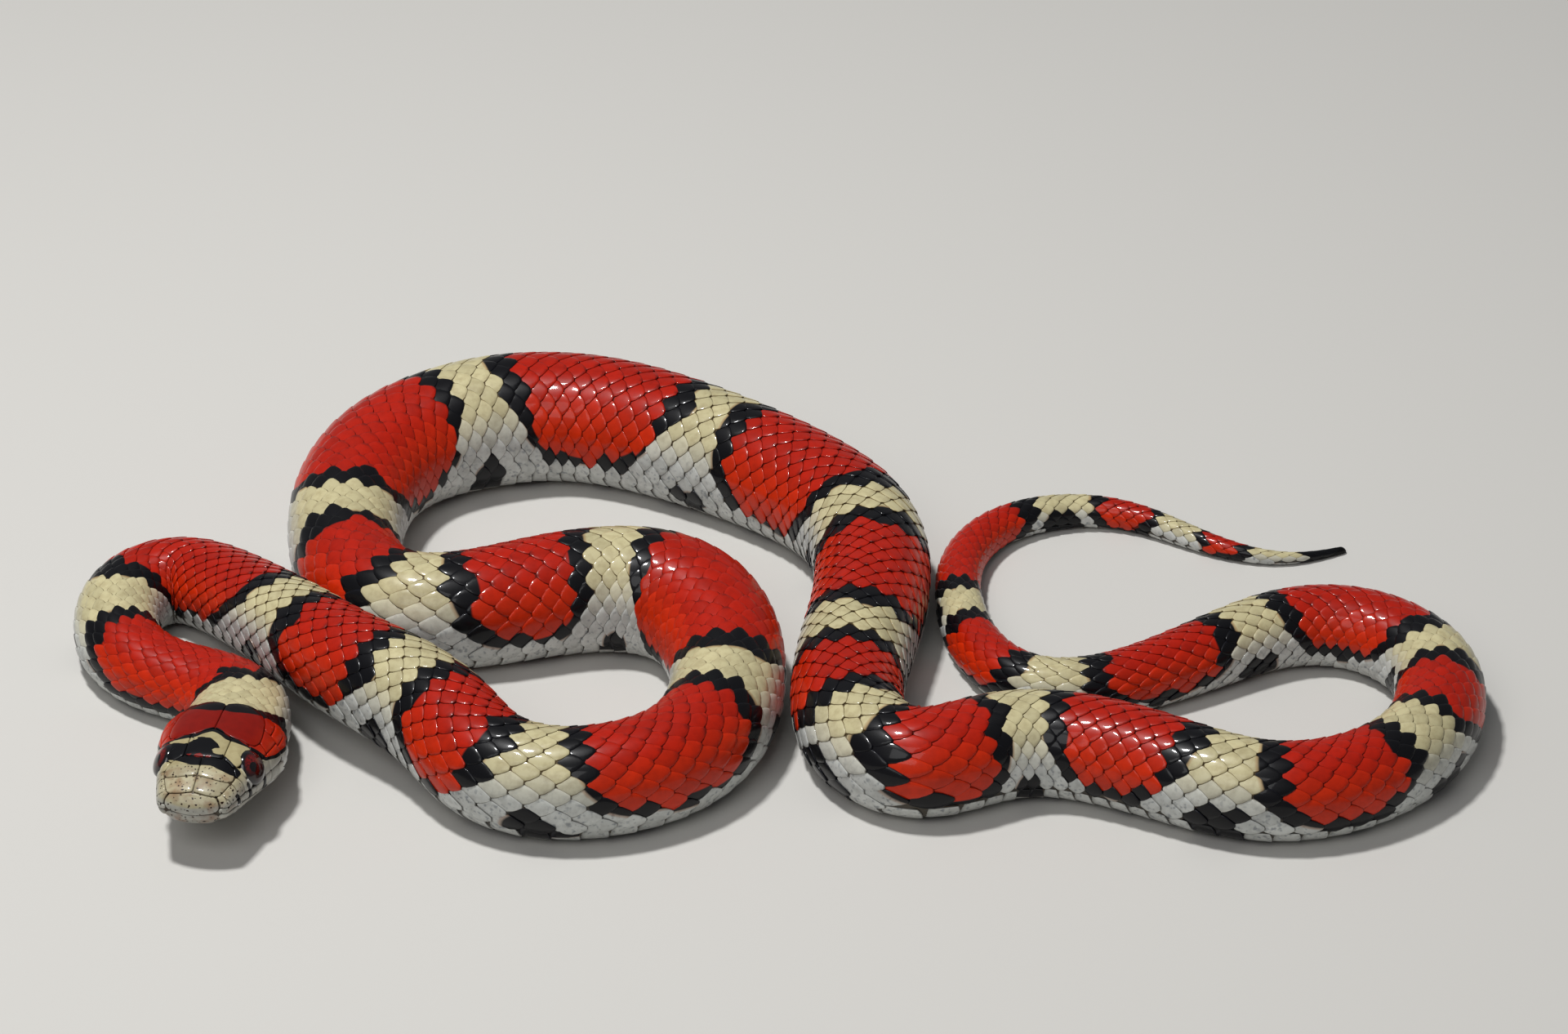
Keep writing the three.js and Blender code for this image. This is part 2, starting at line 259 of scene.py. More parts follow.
@dataclass
class HeadForm:
    """Outer form of the head, measured forward from the nape along its own axis."""

    body: BodyForm
    length: float = 19
    pitch: float = 6
    nape_bend: float = 5
    half_widths: Stations = (
        (0, 6.3), (2, 6.9), (4.5, 7.25), (7, 7), (9.5, 6.3), (11.6, 5.8), (14, 5.2), (16, 4.7), (17.5, 4.25),
        (18.5, 3.75), (19, 3.3),
    )
    tops: Stations = (
        (0, 4.79), (2, 4.95), (4.5, 4.95), (8, 4.6), (11, 4.15), (12.4, 3.85), (14.8, 3.15), (17.2, 2.1),
        (18.4, 1.45), (19, 1),
    )
    undersides: Stations = (
        (0, 4.33), (3, 4.1), (6, 3.8), (10, 3.3), (14, 2.9), (17, 2.5), (18.3, 2.15), (19, 1.9),
    )
    blend: float = 1.8
    square: float = 2.4
    snout_start: float = 17.8
    eye_radius: float = 1.98
    eye_half_depth: float = 1.05
    eye_forward: float = 11.3
    eye_side: float = 4.88
    eye_up: float = 1.68
    eye_turn: float = 15
    eye_lift: float = 29
    nostril_forward: float = 17.75
    nostril_angle: float = 50
    table_start: float = -8
    table_step: float = 0.05

    def __post_init__(self) -> None:
        """Keeps the smoothed profiles in fine tables."""
        self.grid = np.arange(self.table_start, self.length + 2 * self.table_step, self.table_step)
        lists = (self.half_widths, self.tops, self.undersides)
        self.profiles = [at_stations(stations, self.grid, self.blend) for stations in lists]

    def axis(self, forward: Numbers) -> tuple[Numbers, Numbers, Numbers]:
        """Follows the head's axis, which bends up at the nape.

        Args:
            forward: Places in front of the nape.

        Returns:
            Point of the axis, the direction to the animal's left, and the direction up out of the head.
        """
        along = self.body.midline.along(np.zeros(1))[0]
        flat, side = np.array([-along[0], -along[1], 0]), np.array([along[1], -along[0], 0])
        full = math.radians(self.pitch)
        turn = full / self.nape_bend
        bent, rest = np.clip(forward, 0, self.nape_bend), np.maximum(forward - self.nape_bend, 0)
        ahead = np.sin(turn * bent) / turn + rest * math.cos(full) + np.minimum(forward, 0)
        lift = (1 - np.cos(turn * bent)) / turn + rest * math.sin(full)
        start = np.append(self.body.midline.place(np.zeros(1))[0], 0)
        height = self.body.girth[0][1] * self.body.tallness[0][1] * self.body.flank_height
        start[2] = self.body.rise(np.zeros(1))[0] + height
        lean = (turn * bent)[..., None]
        place = start + flat * ahead[..., None] + UP * lift[..., None]
        return place, side, UP * np.cos(lean) - flat * np.sin(lean)

    def sizes(self, forward: Numbers) -> list[Numbers]:
        """Half width, height and depth of the head, closing to nothing at the tip of the snout."""
        close = closing(forward, self.snout_start, self.length - self.snout_start)
        return [close * np.interp(forward, self.grid, profile) for profile in self.profiles]

    def point(self, forward: Numbers, angle: Numbers) -> Numbers:
        """Finds points of the head's surface.

        Args:
            forward: Places in front of the nape.
            angle: Angles from the middle of the back.

        Returns:
            Three numbers for each place.
        """
        place, side, up = self.axis(forward)
        down = np.cos(angle) < 0
        square = eased(forward, 0, self.nape_bend)
        power = 2 / ((1 - square) * np.where(down, self.body.belly_square, 2) + square * self.square)
        width, top, under = self.sizes(forward)
        reach = width * signed_power(np.sin(angle), power)
        lift = np.where(down, under, top) * signed_power(np.cos(angle), power)
        return place + side * reach[..., None] + up * lift[..., None]

    def locate(self, points: Numbers) -> tuple[Numbers, Numbers]:
        """Does the reverse of point, in front of the nape's bend.

        Args:
            points: Points near the surface.

        Returns:
            Forward places and angles.
        """
        start, side, up = self.axis(np.array([self.nape_bend]))
        offset, up = points - start[0], up[0]
        forward = self.nape_bend + offset @ np.cross(side, up)
        width, top, under = self.sizes(forward)
        across, lift = offset @ side, offset @ up
        parts = across / width, lift / np.where(lift < 0, under, top)
        return forward, np.arctan2(*(signed_power(part, self.square / 2) for part in parts))

    def eye_centre(self, hand: int) -> Numbers:
        """Middle of an eyeball."""
        place, side, up = self.axis(np.array([self.eye_forward]))
        return place[0] + side * hand * self.eye_side + up[0] * self.eye_up

    def outward(self, hand: int, turn: float, lift: float) -> Numbers:
        """Gives a direction out of one side of the head.

        Args:
            hand: Side of the head.
            turn: Degrees from straight out to forward.
            lift: Degrees from level to up.

        Returns:
            Unit direction.
        """
        _, side, up = self.axis(np.array([self.eye_forward]))
        ahead, t, e = np.cross(side, up[0]), math.radians(turn), math.radians(lift)
        return (side * hand * math.cos(t) + ahead * math.sin(t)) * math.cos(e) + up[0] * math.sin(e)

    def past_eye(self, points: Numbers, hand: int, gap: float) -> tuple[Numbers, Numbers, Numbers, Numbers]:
        """Places of points in the round of an eyeball.

        Args:
            points: Points in millimetres.
            hand: Side of the head.
            gap: How much larger than the eyeball the round is.

        Returns:
            Depth along the gaze with the eyeball's flatness taken out, distance from the gaze line, unit
            direction away from that line, and the gaze.
        """
        gaze = self.outward(hand, self.eye_turn, self.eye_lift)
        offset = points - self.eye_centre(hand)
        level = offset @ gaze
        around = offset - level[:, None] * gaze
        reach = np.maximum(np.linalg.norm(around, axis=1), TINY)
        depth = level * (self.eye_radius + gap) / (self.eye_half_depth + gap)
        return depth, reach, around / reach[:, None], gaze


@dataclass
class Animal:
    """The whole outer surface: the head's form run smoothly into the body's at the nape."""

    body: BodyForm
    head: HeadForm
    nape_reach: float = 3
    full_coat_width: float = 1.2
    end_margin: float = 0.06
    turn_step: float = 0.012
    walk_step: float = 0.05

    @property
    def tail_tip(self) -> float:
        """Distance of the tail's tip from the nape."""
        return self.body.midline.length

    def point(self, distance: Numbers, angle: Numbers) -> Numbers:
        """Finds points of the outer surface, which the tips of the scales reach.

        Args:
            distance: Distances behind the nape.
            angle: Angles from the middle of the back.

        Returns:
            Three numbers for each place.
        """
        headward = eased(-distance, -self.nape_reach, self.nape_reach)[..., None]
        trunk = self.body.point(np.maximum(distance, -self.nape_reach), angle)
        skull = self.head.point(np.maximum(-distance, -self.nape_reach), angle)
        return trunk * (1 - headward) + skull * headward

    def normal(self, distance: Numbers, angle: Numbers) -> Numbers:
        """Finds the outward unit direction of the surface from points close round a place.

        Args:
            distance: Distances behind the nape.
            angle: Angles from the middle of the back.

        Returns:
            Three numbers for each place.
        """
        kept = np.clip(distance, self.end_margin - self.head.length, self.tail_tip - self.end_margin)
        turn = self.point(kept, angle + self.turn_step) - self.point(kept, angle - self.turn_step)
        walk = self.point(kept + self.walk_step, angle) - self.point(kept - self.walk_step, angle)
        out = np.cross(turn, walk)
        return out / np.maximum(np.linalg.norm(out, axis=-1), TINY)[..., None]

    def raised(self, distance: Numbers, angle: Numbers, height: Numbers | float) -> Numbers:
        """Finds points above the skin, which lies inside the outer surface by the coat's depth.

        The coat thins to nothing at the tail's tip, so that neither layer turns inside out there.

        Args:
            distance: Distances behind the nape.
            angle: Angles from the middle of the back.
            height: Heights above the skin.

        Returns:
            Three numbers for each place.
        """
        thin = np.clip(self.body.half_width(distance) / self.full_coat_width, 0, 1)
        lift = thin * (np.asarray(height, float) - COAT_DEPTH)
        return self.point(distance, angle) + self.normal(distance, angle) * lift[..., None]

    def nostril(self, hand: int, height: float) -> tuple[Numbers, Numbers]:
        """Middle of a nostril at a height above the skin, and the direction out of it."""
        spot = np.array([-self.head.nostril_forward]), np.array([hand * math.radians(self.head.nostril_angle)])
        return self.raised(*spot, height)[0], self.normal(*spot)[0]


@dataclass
class Markings:
    """The colours of the coat: how far, in millimetres, each place is inside the red and the black.

    Cream bands are (middle, half length), and a red saddle with a black edge fills each gap between two of them.
    Borders across the head are stations of (degrees from its middle, forward place), with + on the animal's left
    where both sides differ. Those along it, red_low and mouth, are stations of (forward place, degrees).
    """

    animal: Animal
    creams: Stations = (
        (2.2, 3.1), (32.5, 3.3), (67.5, 3), (90, 2.8), (109.7, 2.5), (138, 2.8), (169.5, 2.9), (192.5, 2.6),
        (212.5, 2.8), (244.5, 3.2), (278, 2.6), (306.5, 2.8), (332.5, 2.7), (350.5, 2.6), (369.5, 2.7),
        (394, 2.8), (417.5, 2.7), (435.5, 2.6), (463, 2.8), (487.5, 2.8), (508, 2.6), (540, 3.4), (555.5, 2.6),
        (568, 3),
    )
    saddle_depth: float = 0.61
    saddle_swing: float = 0.02
    saddle_wave: float = 2.4
    saddle_square: float = 2.6
    tail_saddle_depth: float = 0.2
    tail_blend: Span = (470, 520)
    black_width: float = 2.9
    flank_width: float = 1.3
    flank_blend: Span = (0.2, 0.52)
    widest_edge: float = 0.36
    lower_edge: float = 1.1
    black_tip: float = 571
    flank_blotch: float = 2.7
    flank_blotch_swing: float = 0.5
    flank_blotch_wave: float = 3
    flank_blotch_share: float = 0.64
    flank_blotch_shift: float = 0.8
    flank_shift_wave: float = 5
    flank_blotch_span: Span = (20, 545)
    check_length: float = 13
    check_slope: float = 2.4
    belly_start: float = 0.76
    belly_middle: float = 0.88
    smallest: float = 0.3
    outside: float = -9

    nape_black: Stations = ((0, 2.5), (10, 1.9), (25, 1.5), (33, 1.2), (58, 0.2), (82, -0.5))
    nape_red: Stations = ((0, 4.1), (6, 4.5), (19, 4.0), (34, 3.4), (45, 3.1), (60, 2.6), (76, 2.2))
    arch_rear: Stations = ((0, 7.8), (5, 8.2), (11, 9.0), (21, 9.2), (34, 9.7), (46, 9.5), (60, 9.2), (72, 8.8))
    arch_front: Stations = ((0, 8.7), (6, 9.2), (12, 9.9), (22, 10.0), (40, 10.1), (50, 10.2), (72, 9.4))
    red_low: Stations = ((2.5, 80), (4.6, 79), (7.5, 74), (9.2, 67), (10.2, 58))
    black_below_red: float = 5
    blotch_rear: Stations = (
        (-50, 10.9), (-38, 10.6), (-22, 11), (-15, 10.7), (-6, 9.9), (0, 9.9), (5, 10.6), (9, 11.0),
        (12, 11.6), (16, 12.3), (25, 12.8), (36, 13.3), (50, 13.6),
    )
    band_front: Stations = (
        (-57, 12.9), (-34, 13.5), (-20, 14.1), (-8, 14.6), (0, 14.5), (11, 14.4), (19, 14.7),
        (38, 14.9), (52, 14.6),
    )
    band_low: float = 55
    cream_patch: tuple[float, float, float, float] = (12.05, 11.5, 0.5, 0.62)
    red_flecks: tuple[tuple[float, float, float], ...] = ((12.75, -14, 0.28), (13.0, -4, 0.34), (13.05, 4, 0.2))
    lip_bars: tuple[float, ...] = (16.0, 13.5, 10.3)
    bar_half_width: float = 0.32
    bar_lean: float = 0.02
    bar_top: float = 74
    bar_upright: float = 85
    mouth: Stations = (
        (5.4, 106), (7.5, 112), (9.8, 113), (12.6, 107), (15.2, 100), (17.3, 100), (18.3, 104), (18.6, 108),
    )
    degree: float = 0.09
    head_border: float = 1.5

    grey_shares: Span = (0.24, 0.5)
    snout_grey: float = 0.3
    snout_blend: Span = (13.6, 15.6)
    spotted_from: Span = (0.34, 0.55)
    spotted_to: Span = (0.7, 0.8)
    dotted_snout: Span = (14.2, 15)
    back_shares: Span = (0.16, 0.4)

    def saddles(self, distance: Numbers, share: Numbers, around: Numbers) -> tuple[Numbers, Numbers]:
        """Draws the red saddles and their black edges.

        Args:
            distance: Distances behind the nape.
            share: Shares from the back to the belly.
            around: Length of half the way round the body.

        Returns:
            Distances inside the red and the black.
        """
        centres, halves = np.array(self.creams).T
        gap = np.clip(np.searchsorted(centres, distance), 1, len(centres) - 1)
        start, end = (centres + halves)[gap - 1], (centres - halves)[gap]
        away, half = np.abs(distance - (start + end) / 2), (end - start) / 2
        swing = self.saddle_swing * np.sin(self.saddle_wave * gap)
        deeper = self.tail_saddle_depth * eased(distance, *self.tail_blend)
        depth = around * (self.saddle_depth + swing + deeper)
        edge = self.black_width + (self.flank_width - self.black_width) * eased(share, *self.flank_blend)
        edge = np.minimum(edge, self.widest_edge * half)
        low = np.maximum(depth - self.lower_edge, self.smallest)
        red = inside_oval(away, half - edge, share * around, low, self.saddle_square)
        red = np.where(distance > centres[-1], self.outside, red)
        return red, inside_oval(away, half, share * around, depth, self.saddle_square)

    def body_fields(self, distance: Numbers, share: Numbers) -> tuple[Numbers, Numbers]:
        """Draws the neck, trunk and tail: the saddles, the blotches under the cream and the belly's checks.

        Args:
            distance: Distances behind the nape.
            share: Shares from the back to the belly.

        Returns:
            Distances inside the red and the black.
        """
        around = self.animal.body.half_round * np.maximum(self.animal.body.half_width(distance), self.smallest)
        red, black = self.saddles(distance, share, around)
        centres = np.array(self.creams)[:, 0]
        shifted = centres + self.flank_blotch_shift * np.sin(self.flank_shift_wave * centres)
        offsets = np.abs(distance[..., None] - shifted)
        near = offsets.argmin(-1)
        first, last = self.flank_blotch_span
        size = self.flank_blotch + self.flank_blotch_swing * np.sin(self.flank_blotch_wave * near)
        size = np.where((distance > first) & (distance < last), size, 0.05)
        blotch = inside_oval(
            offsets.min(-1), size, np.abs(share - self.flank_blotch_share) * around, size * 0.95
        )
        checker = np.where(share > self.belly_middle, 1, -1)
        checker = checker * np.sin(2 * math.pi * distance / self.check_length + near)
        checks = np.minimum(self.check_slope * (checker - 0.15), (share - self.belly_start) * around)
        checks = np.where(distance > first, checks, -1)
        return red, np.maximum.reduce([black, blotch, checks, distance - self.black_tip])

    def head_fields(self, forward: Numbers, angle: Numbers) -> tuple[Numbers, Numbers]:
        """Draws the head: red behind a black arch, a black blotch with a band before it, flecks and lip bars.

        Args:
            forward: Places in front of the nape.
            angle: Angles from the middle of the back.

        Returns:
            Distances inside the red and the black.
        """
        turn = np.degrees((angle + math.pi) % (2 * math.pi) - math.pi)
        side = np.abs(turn)
        low = at_stations(self.red_low, forward)
        red = np.minimum.reduce([
            forward - at_stations(self.nape_red, side),
            at_stations(self.arch_rear, side) - forward,
            (low - side) * self.degree,
        ])
        black = np.minimum.reduce([
            forward - at_stations(self.nape_black, side),
            at_stations(self.arch_front, side) - forward,
            (low + self.black_below_red - side) * self.degree,
        ])
        at, middle, half, depth = self.cream_patch
        blotch = np.minimum.reduce([
            forward - at_stations(self.blotch_rear, turn),
            at_stations(self.band_front, turn) - forward,
            (self.band_low - side) * self.degree,
            -inside_oval(np.abs(forward - at), half, np.abs(turn - middle) * self.degree, depth),
        ])
        black = np.maximum(black, blotch)
        mouth = at_stations(self.mouth, forward)
        for bar in self.lip_bars:
            strip = self.bar_half_width - np.abs(forward - bar + (side - self.bar_upright) * self.bar_lean)
            upright = np.minimum(side - self.bar_top, mouth - side) * self.degree
            black = np.maximum(black, np.minimum(strip, upright))
        for at, middle, size in self.red_flecks:
            fleck = inside_oval(np.abs(forward - at), size, np.abs(turn - middle) * self.degree, size)
            red = np.maximum(red, fleck)
        return red, black

    def marks(self, distance: Numbers, angle: Numbers) -> Numbers:
        """Draws the whole animal.

        Args:
            distance: Distances behind the nape.
            angle: Angles from the middle of the back.

        Returns:
            Distances inside red and black, and how pale grey the light scales are, as three numbers.
        """
        share = self.animal.body.share_of(angle)
        body, head = self.body_fields(distance, share), self.head_fields(-distance, angle)
        near_head = distance < self.head_border
        red, black = (np.where(near_head, np.maximum(b, h), b) for b, h in zip(body, head))
        snout = self.snout_grey * eased(-distance, *self.snout_blend)
        return np.stack([red, black, np.maximum(eased(share, *self.grey_shares), snout)], -1)

    def wear(self, distance: Numbers, angle: Numbers) -> Numbers:
        """Gives what the finishes vary with besides the markings.

        Args:
            distance: Distances behind the nape.
            angle: Angles from the middle of the back.

        Returns:
            Density of dark specks, nearness to the back, and 1 on the head, as three numbers.
        """
        share = self.animal.body.share_of(angle)
        flank = eased(share, *self.spotted_from) * (1 - eased(share, *self.spotted_to)) * (distance > 0)
        speck = np.maximum(flank, eased(-distance, *self.dotted_snout))
        return np.stack([speck, 1 - eased(share, *self.back_shares), eased(-distance, 0, 1)], -1)


def add_layers(mesh: bpy.types.Mesh, **layers: Numbers) -> None:
    """Adds vertex attributes of three numbers each, by name."""
    for layer, values in layers.items():
        mesh.attributes.new(layer, "FLOAT_VECTOR", "POINT").data.foreach_set("vector", values.ravel())


def mesh_object(name: str, points: Numbers, faces: list[Numbers], unwrap: Numbers) -> bpy.types.Object:
    """Makes one joined, smooth-shaded mesh from arrays.

    Args:
        name: Name of the object.
        points: Vertices in millimetres.
        faces: Blocks of faces, each block with one number of corners.
        unwrap: Place of each vertex on the unwrap map.

    Returns:
        The new object, at the origin.
    """
    mesh = bpy.data.meshes.new(name)
    corners = np.concatenate([block.ravel() for block in faces]).astype(np.int32)
    sizes = np.concatenate([np.full(len(block), block.shape[1]) for block in faces])
    mesh.vertices.add(len(points))
    mesh.vertices.foreach_set("co", (points * MM).astype(np.float32).ravel())
    mesh.loops.add(len(corners))
    mesh.loops.foreach_set("vertex_index", corners)
    mesh.polygons.add(len(sizes))
    mesh.polygons.foreach_set("loop_start", (np.cumsum(sizes) - sizes).astype(np.int32))
    mesh.polygons.foreach_set("use_smooth", np.ones(len(sizes), bool))
    mesh.update(calc_edges=True)
    unwrapped = mesh.uv_layers.new(name=UNWRAP_MAP)
    unwrapped.data.foreach_set("uv", unwrap[corners].astype(np.float32).ravel())
    piece = bpy.data.objects.new(name, mesh)
    bpy.context.collection.objects.link(piece)
    return piece


def vertices_of(piece: bpy.types.Object) -> Numbers:
    """Reads the places of a piece's vertices.

    Args:
        piece: A mesh object.

    Returns:
        Three numbers for each vertex, in metres.
    """
    places = np.empty(3 * len(piece.data.vertices))
    piece.data.vertices.foreach_get("co", places)
    return places.reshape(-1, 3)


def deselect_all() -> None:
    """Leaves nothing selected, so that an operator acts only on what is added next."""
    bpy.ops.object.select_all(action="DESELECT")


def smooth_over(has_doubles: bool) -> None:
    """Turns the active piece's faces outwards and shades it smooth.

    Args:
        has_doubles: Whether vertices lie on each other and are merged first, as along a seam.
    """
    bpy.ops.object.mode_set(mode="EDIT")
    bpy.ops.mesh.select_all(action="SELECT")
    if has_doubles:
        bpy.ops.mesh.remove_doubles(threshold=MERGE_DISTANCE)
    bpy.ops.mesh.normals_make_consistent(inside=False)
    bpy.ops.mesh.faces_shade_smooth()
    bpy.ops.object.mode_set(mode="OBJECT")


def declare(piece: bpy.types.Object, slot: str, finish: bpy.types.Material, *nodes: str) -> None:
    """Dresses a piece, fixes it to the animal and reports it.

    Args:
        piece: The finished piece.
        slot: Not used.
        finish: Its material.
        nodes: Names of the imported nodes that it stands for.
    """
    piece.data.materials.clear()
    piece.data.materials.append(finish)
    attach(piece, "root")
    if nodes:
        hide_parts(*nodes)
    piece.data.calc_loop_triangles()
    LOG.info("%s: %d triangles", piece.name, len(piece.data.loop_triangles))


@dataclass
class Skin:
    """One closed skin under the whole coat, with an eye socket and a nostril pit on each side."""

    animal: Animal
    markings: Markings
    snout_rings: int = 20
    head_rings: int = 104
    body_step: float = 0.8
    tail_tip_rings: int = 8
    sides: int = 92
    socket_gap: float = 0.1
    nostril_radius: float = 0.5
    nostril_depth: float = 0.7
    shade_depth: float = 0.08

    def ring_distances(self) -> Numbers:
        """Distances of the rings, crowded at the snout and the tail's tip."""
        head, quarter = self.animal.head, math.pi / 2
        snout_turn = np.linspace(quarter, 0, self.snout_rings + 1)
        snout = -(head.snout_start + (head.length - head.snout_start) * np.sin(snout_turn))
        skull = np.linspace(-head.snout_start, 0, self.head_rings + 1)[1:]
        end = self.animal.body.tip_length
        start = self.animal.tail_tip - end
        trunk = np.linspace(0, start, int(start / self.body_step))[1:]
        tail = start + end * np.sin(np.linspace(0, quarter, self.tail_tip_rings + 1))[1:]
        return np.concatenate([snout, skull, trunk, tail])

    def sink_nostrils(self, points: Numbers) -> Numbers:
        """Presses the skin in under the nostrils.

        Args:
            points: Vertices of the skin.

        Returns:
            The vertices where they now lie.
        """
        for hand in (1, -1):
            middle, out = self.animal.nostril(hand, 0.0)
            near = np.clip(1 - (np.linalg.norm(points - middle, axis=1) / self.nostril_radius) ** 2, 0, 1)
            points = points - out * (near * self.nostril_depth)[:, None]
        return points

    def sink_sockets(self, points: Numbers) -> Numbers:
        """Carries the skin that lies inside an eyeball round behind it, as a bowl.

        Args:
            points: Vertices of the skin.

        Returns:
            The vertices where they now lie.
        """
        head = self.animal.head
        bowl = head.eye_radius + self.socket_gap
        flatness = (head.eye_half_depth + self.socket_gap) / bowl
        for hand in (1, -1):
            level, reach, around, gaze = head.past_eye(points, hand, self.socket_gap)
            size = np.hypot(level, reach)
            inside = size < bowl
            turn = np.arctan2(reach, level)[inside]
            depth = (bowl - size[inside]) / (bowl - size[inside].min())
            turn = turn + depth * (math.pi - turn)
            moved = gaze * (np.cos(turn) * flatness)[:, None] + around[inside] * np.sin(turn)[:, None]
            points[inside] = head.eye_centre(hand) + bowl * moved
        return points

    def build(self, finish: bpy.types.Material) -> None:
        """Carries a plain grid onto the animal's surface, sews it up and closes both ends.

        Args:
            finish: Material of the skin.
        """
        rings = self.ring_distances()
        deselect_all()
        bpy.ops.mesh.primitive_grid_add(x_subdivisions=len(rings) - 1, y_subdivisions=self.sides, size=2)
        piece = bpy.context.object
        piece.name = piece.data.name = "skin"
        flat = vertices_of(piece)
        ring = np.rint((flat[:, 0] + 1) / 2 * (len(rings) - 1)).astype(int)
        distance, share = rings[ring], flat[:, 1]
        angle = self.animal.body.angle_of(np.clip(share, TINY - 1, 1 - TINY))
        angle = np.where(np.abs(share) > 1 - 1e-6, math.pi, angle)
        plain = self.animal.raised(distance, angle, 0.0)
        points = self.sink_sockets(self.sink_nostrils(plain.copy()))
        shaded_pits = np.linalg.norm(points - plain, axis=1) > self.shade_depth
        ends = 0, len(rings) - 1
        for end in ends:
            points[ring == end] = points[ring == end].mean(axis=0)
        points[:, 2] = np.maximum(points[:, 2], 0)
        piece.data.vertices.foreach_set("co", (points * MM).ravel())
        marks = self.markings.marks(distance, np.where(np.isin(ring, ends), 0, angle))
        # The sockets and the nostril pits are painted black inside: painted shade in their hollows.
        marks[shaded_pits, :2] = -1, 1
        add_layers(piece.data, marks=marks, wear=self.markings.wear(distance, angle), lay=np.zeros_like(marks))
        piece.data.uv_layers[0].name = UNWRAP_MAP
        smooth_over(has_doubles=True)
        flesh = sorted(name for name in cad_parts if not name.startswith("eye"))
        declare(piece, "body_scales", finish, *flesh)


def plate_grid(rows: int, columns: int) -> tuple[Numbers, Numbers, Numbers]:
    """Row and column of every point of a small plate, and whether it is on the rim."""
    row, column = np.divmod(np.arange(rows * columns), columns)
    return row, column, np.isin(row, (0, rows - 1)) | np.isin(column, (0, columns - 1))


def plate_faces(rows: int, columns: int) -> tuple[Numbers, Numbers]:
    """Finds the faces of a small plate.

    Args:
        rows: Number of rows of points.
        columns: Number of points in a row.

    Returns:
        Quads of the top, and the one face that closes the underside.
    """
    i = np.arange(rows * columns).reshape(rows, columns)
    quads = np.stack([i[:-1, :-1], i[:-1, 1:], i[1:, 1:], i[1:, :-1]], -1).reshape(-1, 4)
    loop = np.concatenate([i[0, :-1], i[:-1, -1], i[-1, :0:-1], i[:0:-1, 0]])
    return quads, loop[::-1][None]


@dataclass(frozen=True)
class HeadPlate:
    """One large plate of the head by its corners, each (forward, angle in degrees) on the animal's left.

    A plate that isn't paired lies on the middle, is given by its left half and is mirrored. A plate that wraps
    the tip of the snout is filled as seen from in front, and the others as seen from the side.
    """

    name: str
    half: Stations
    paired: bool = True
    wraps_tip: bool = False

    @property
    def outline(self) -> Stations:
        """Corners all the way round."""
        mirrored = () if self.paired else self.half[-2:0:-1]
        return (*self.half, *((forward, -turn) for forward, turn in mirrored))


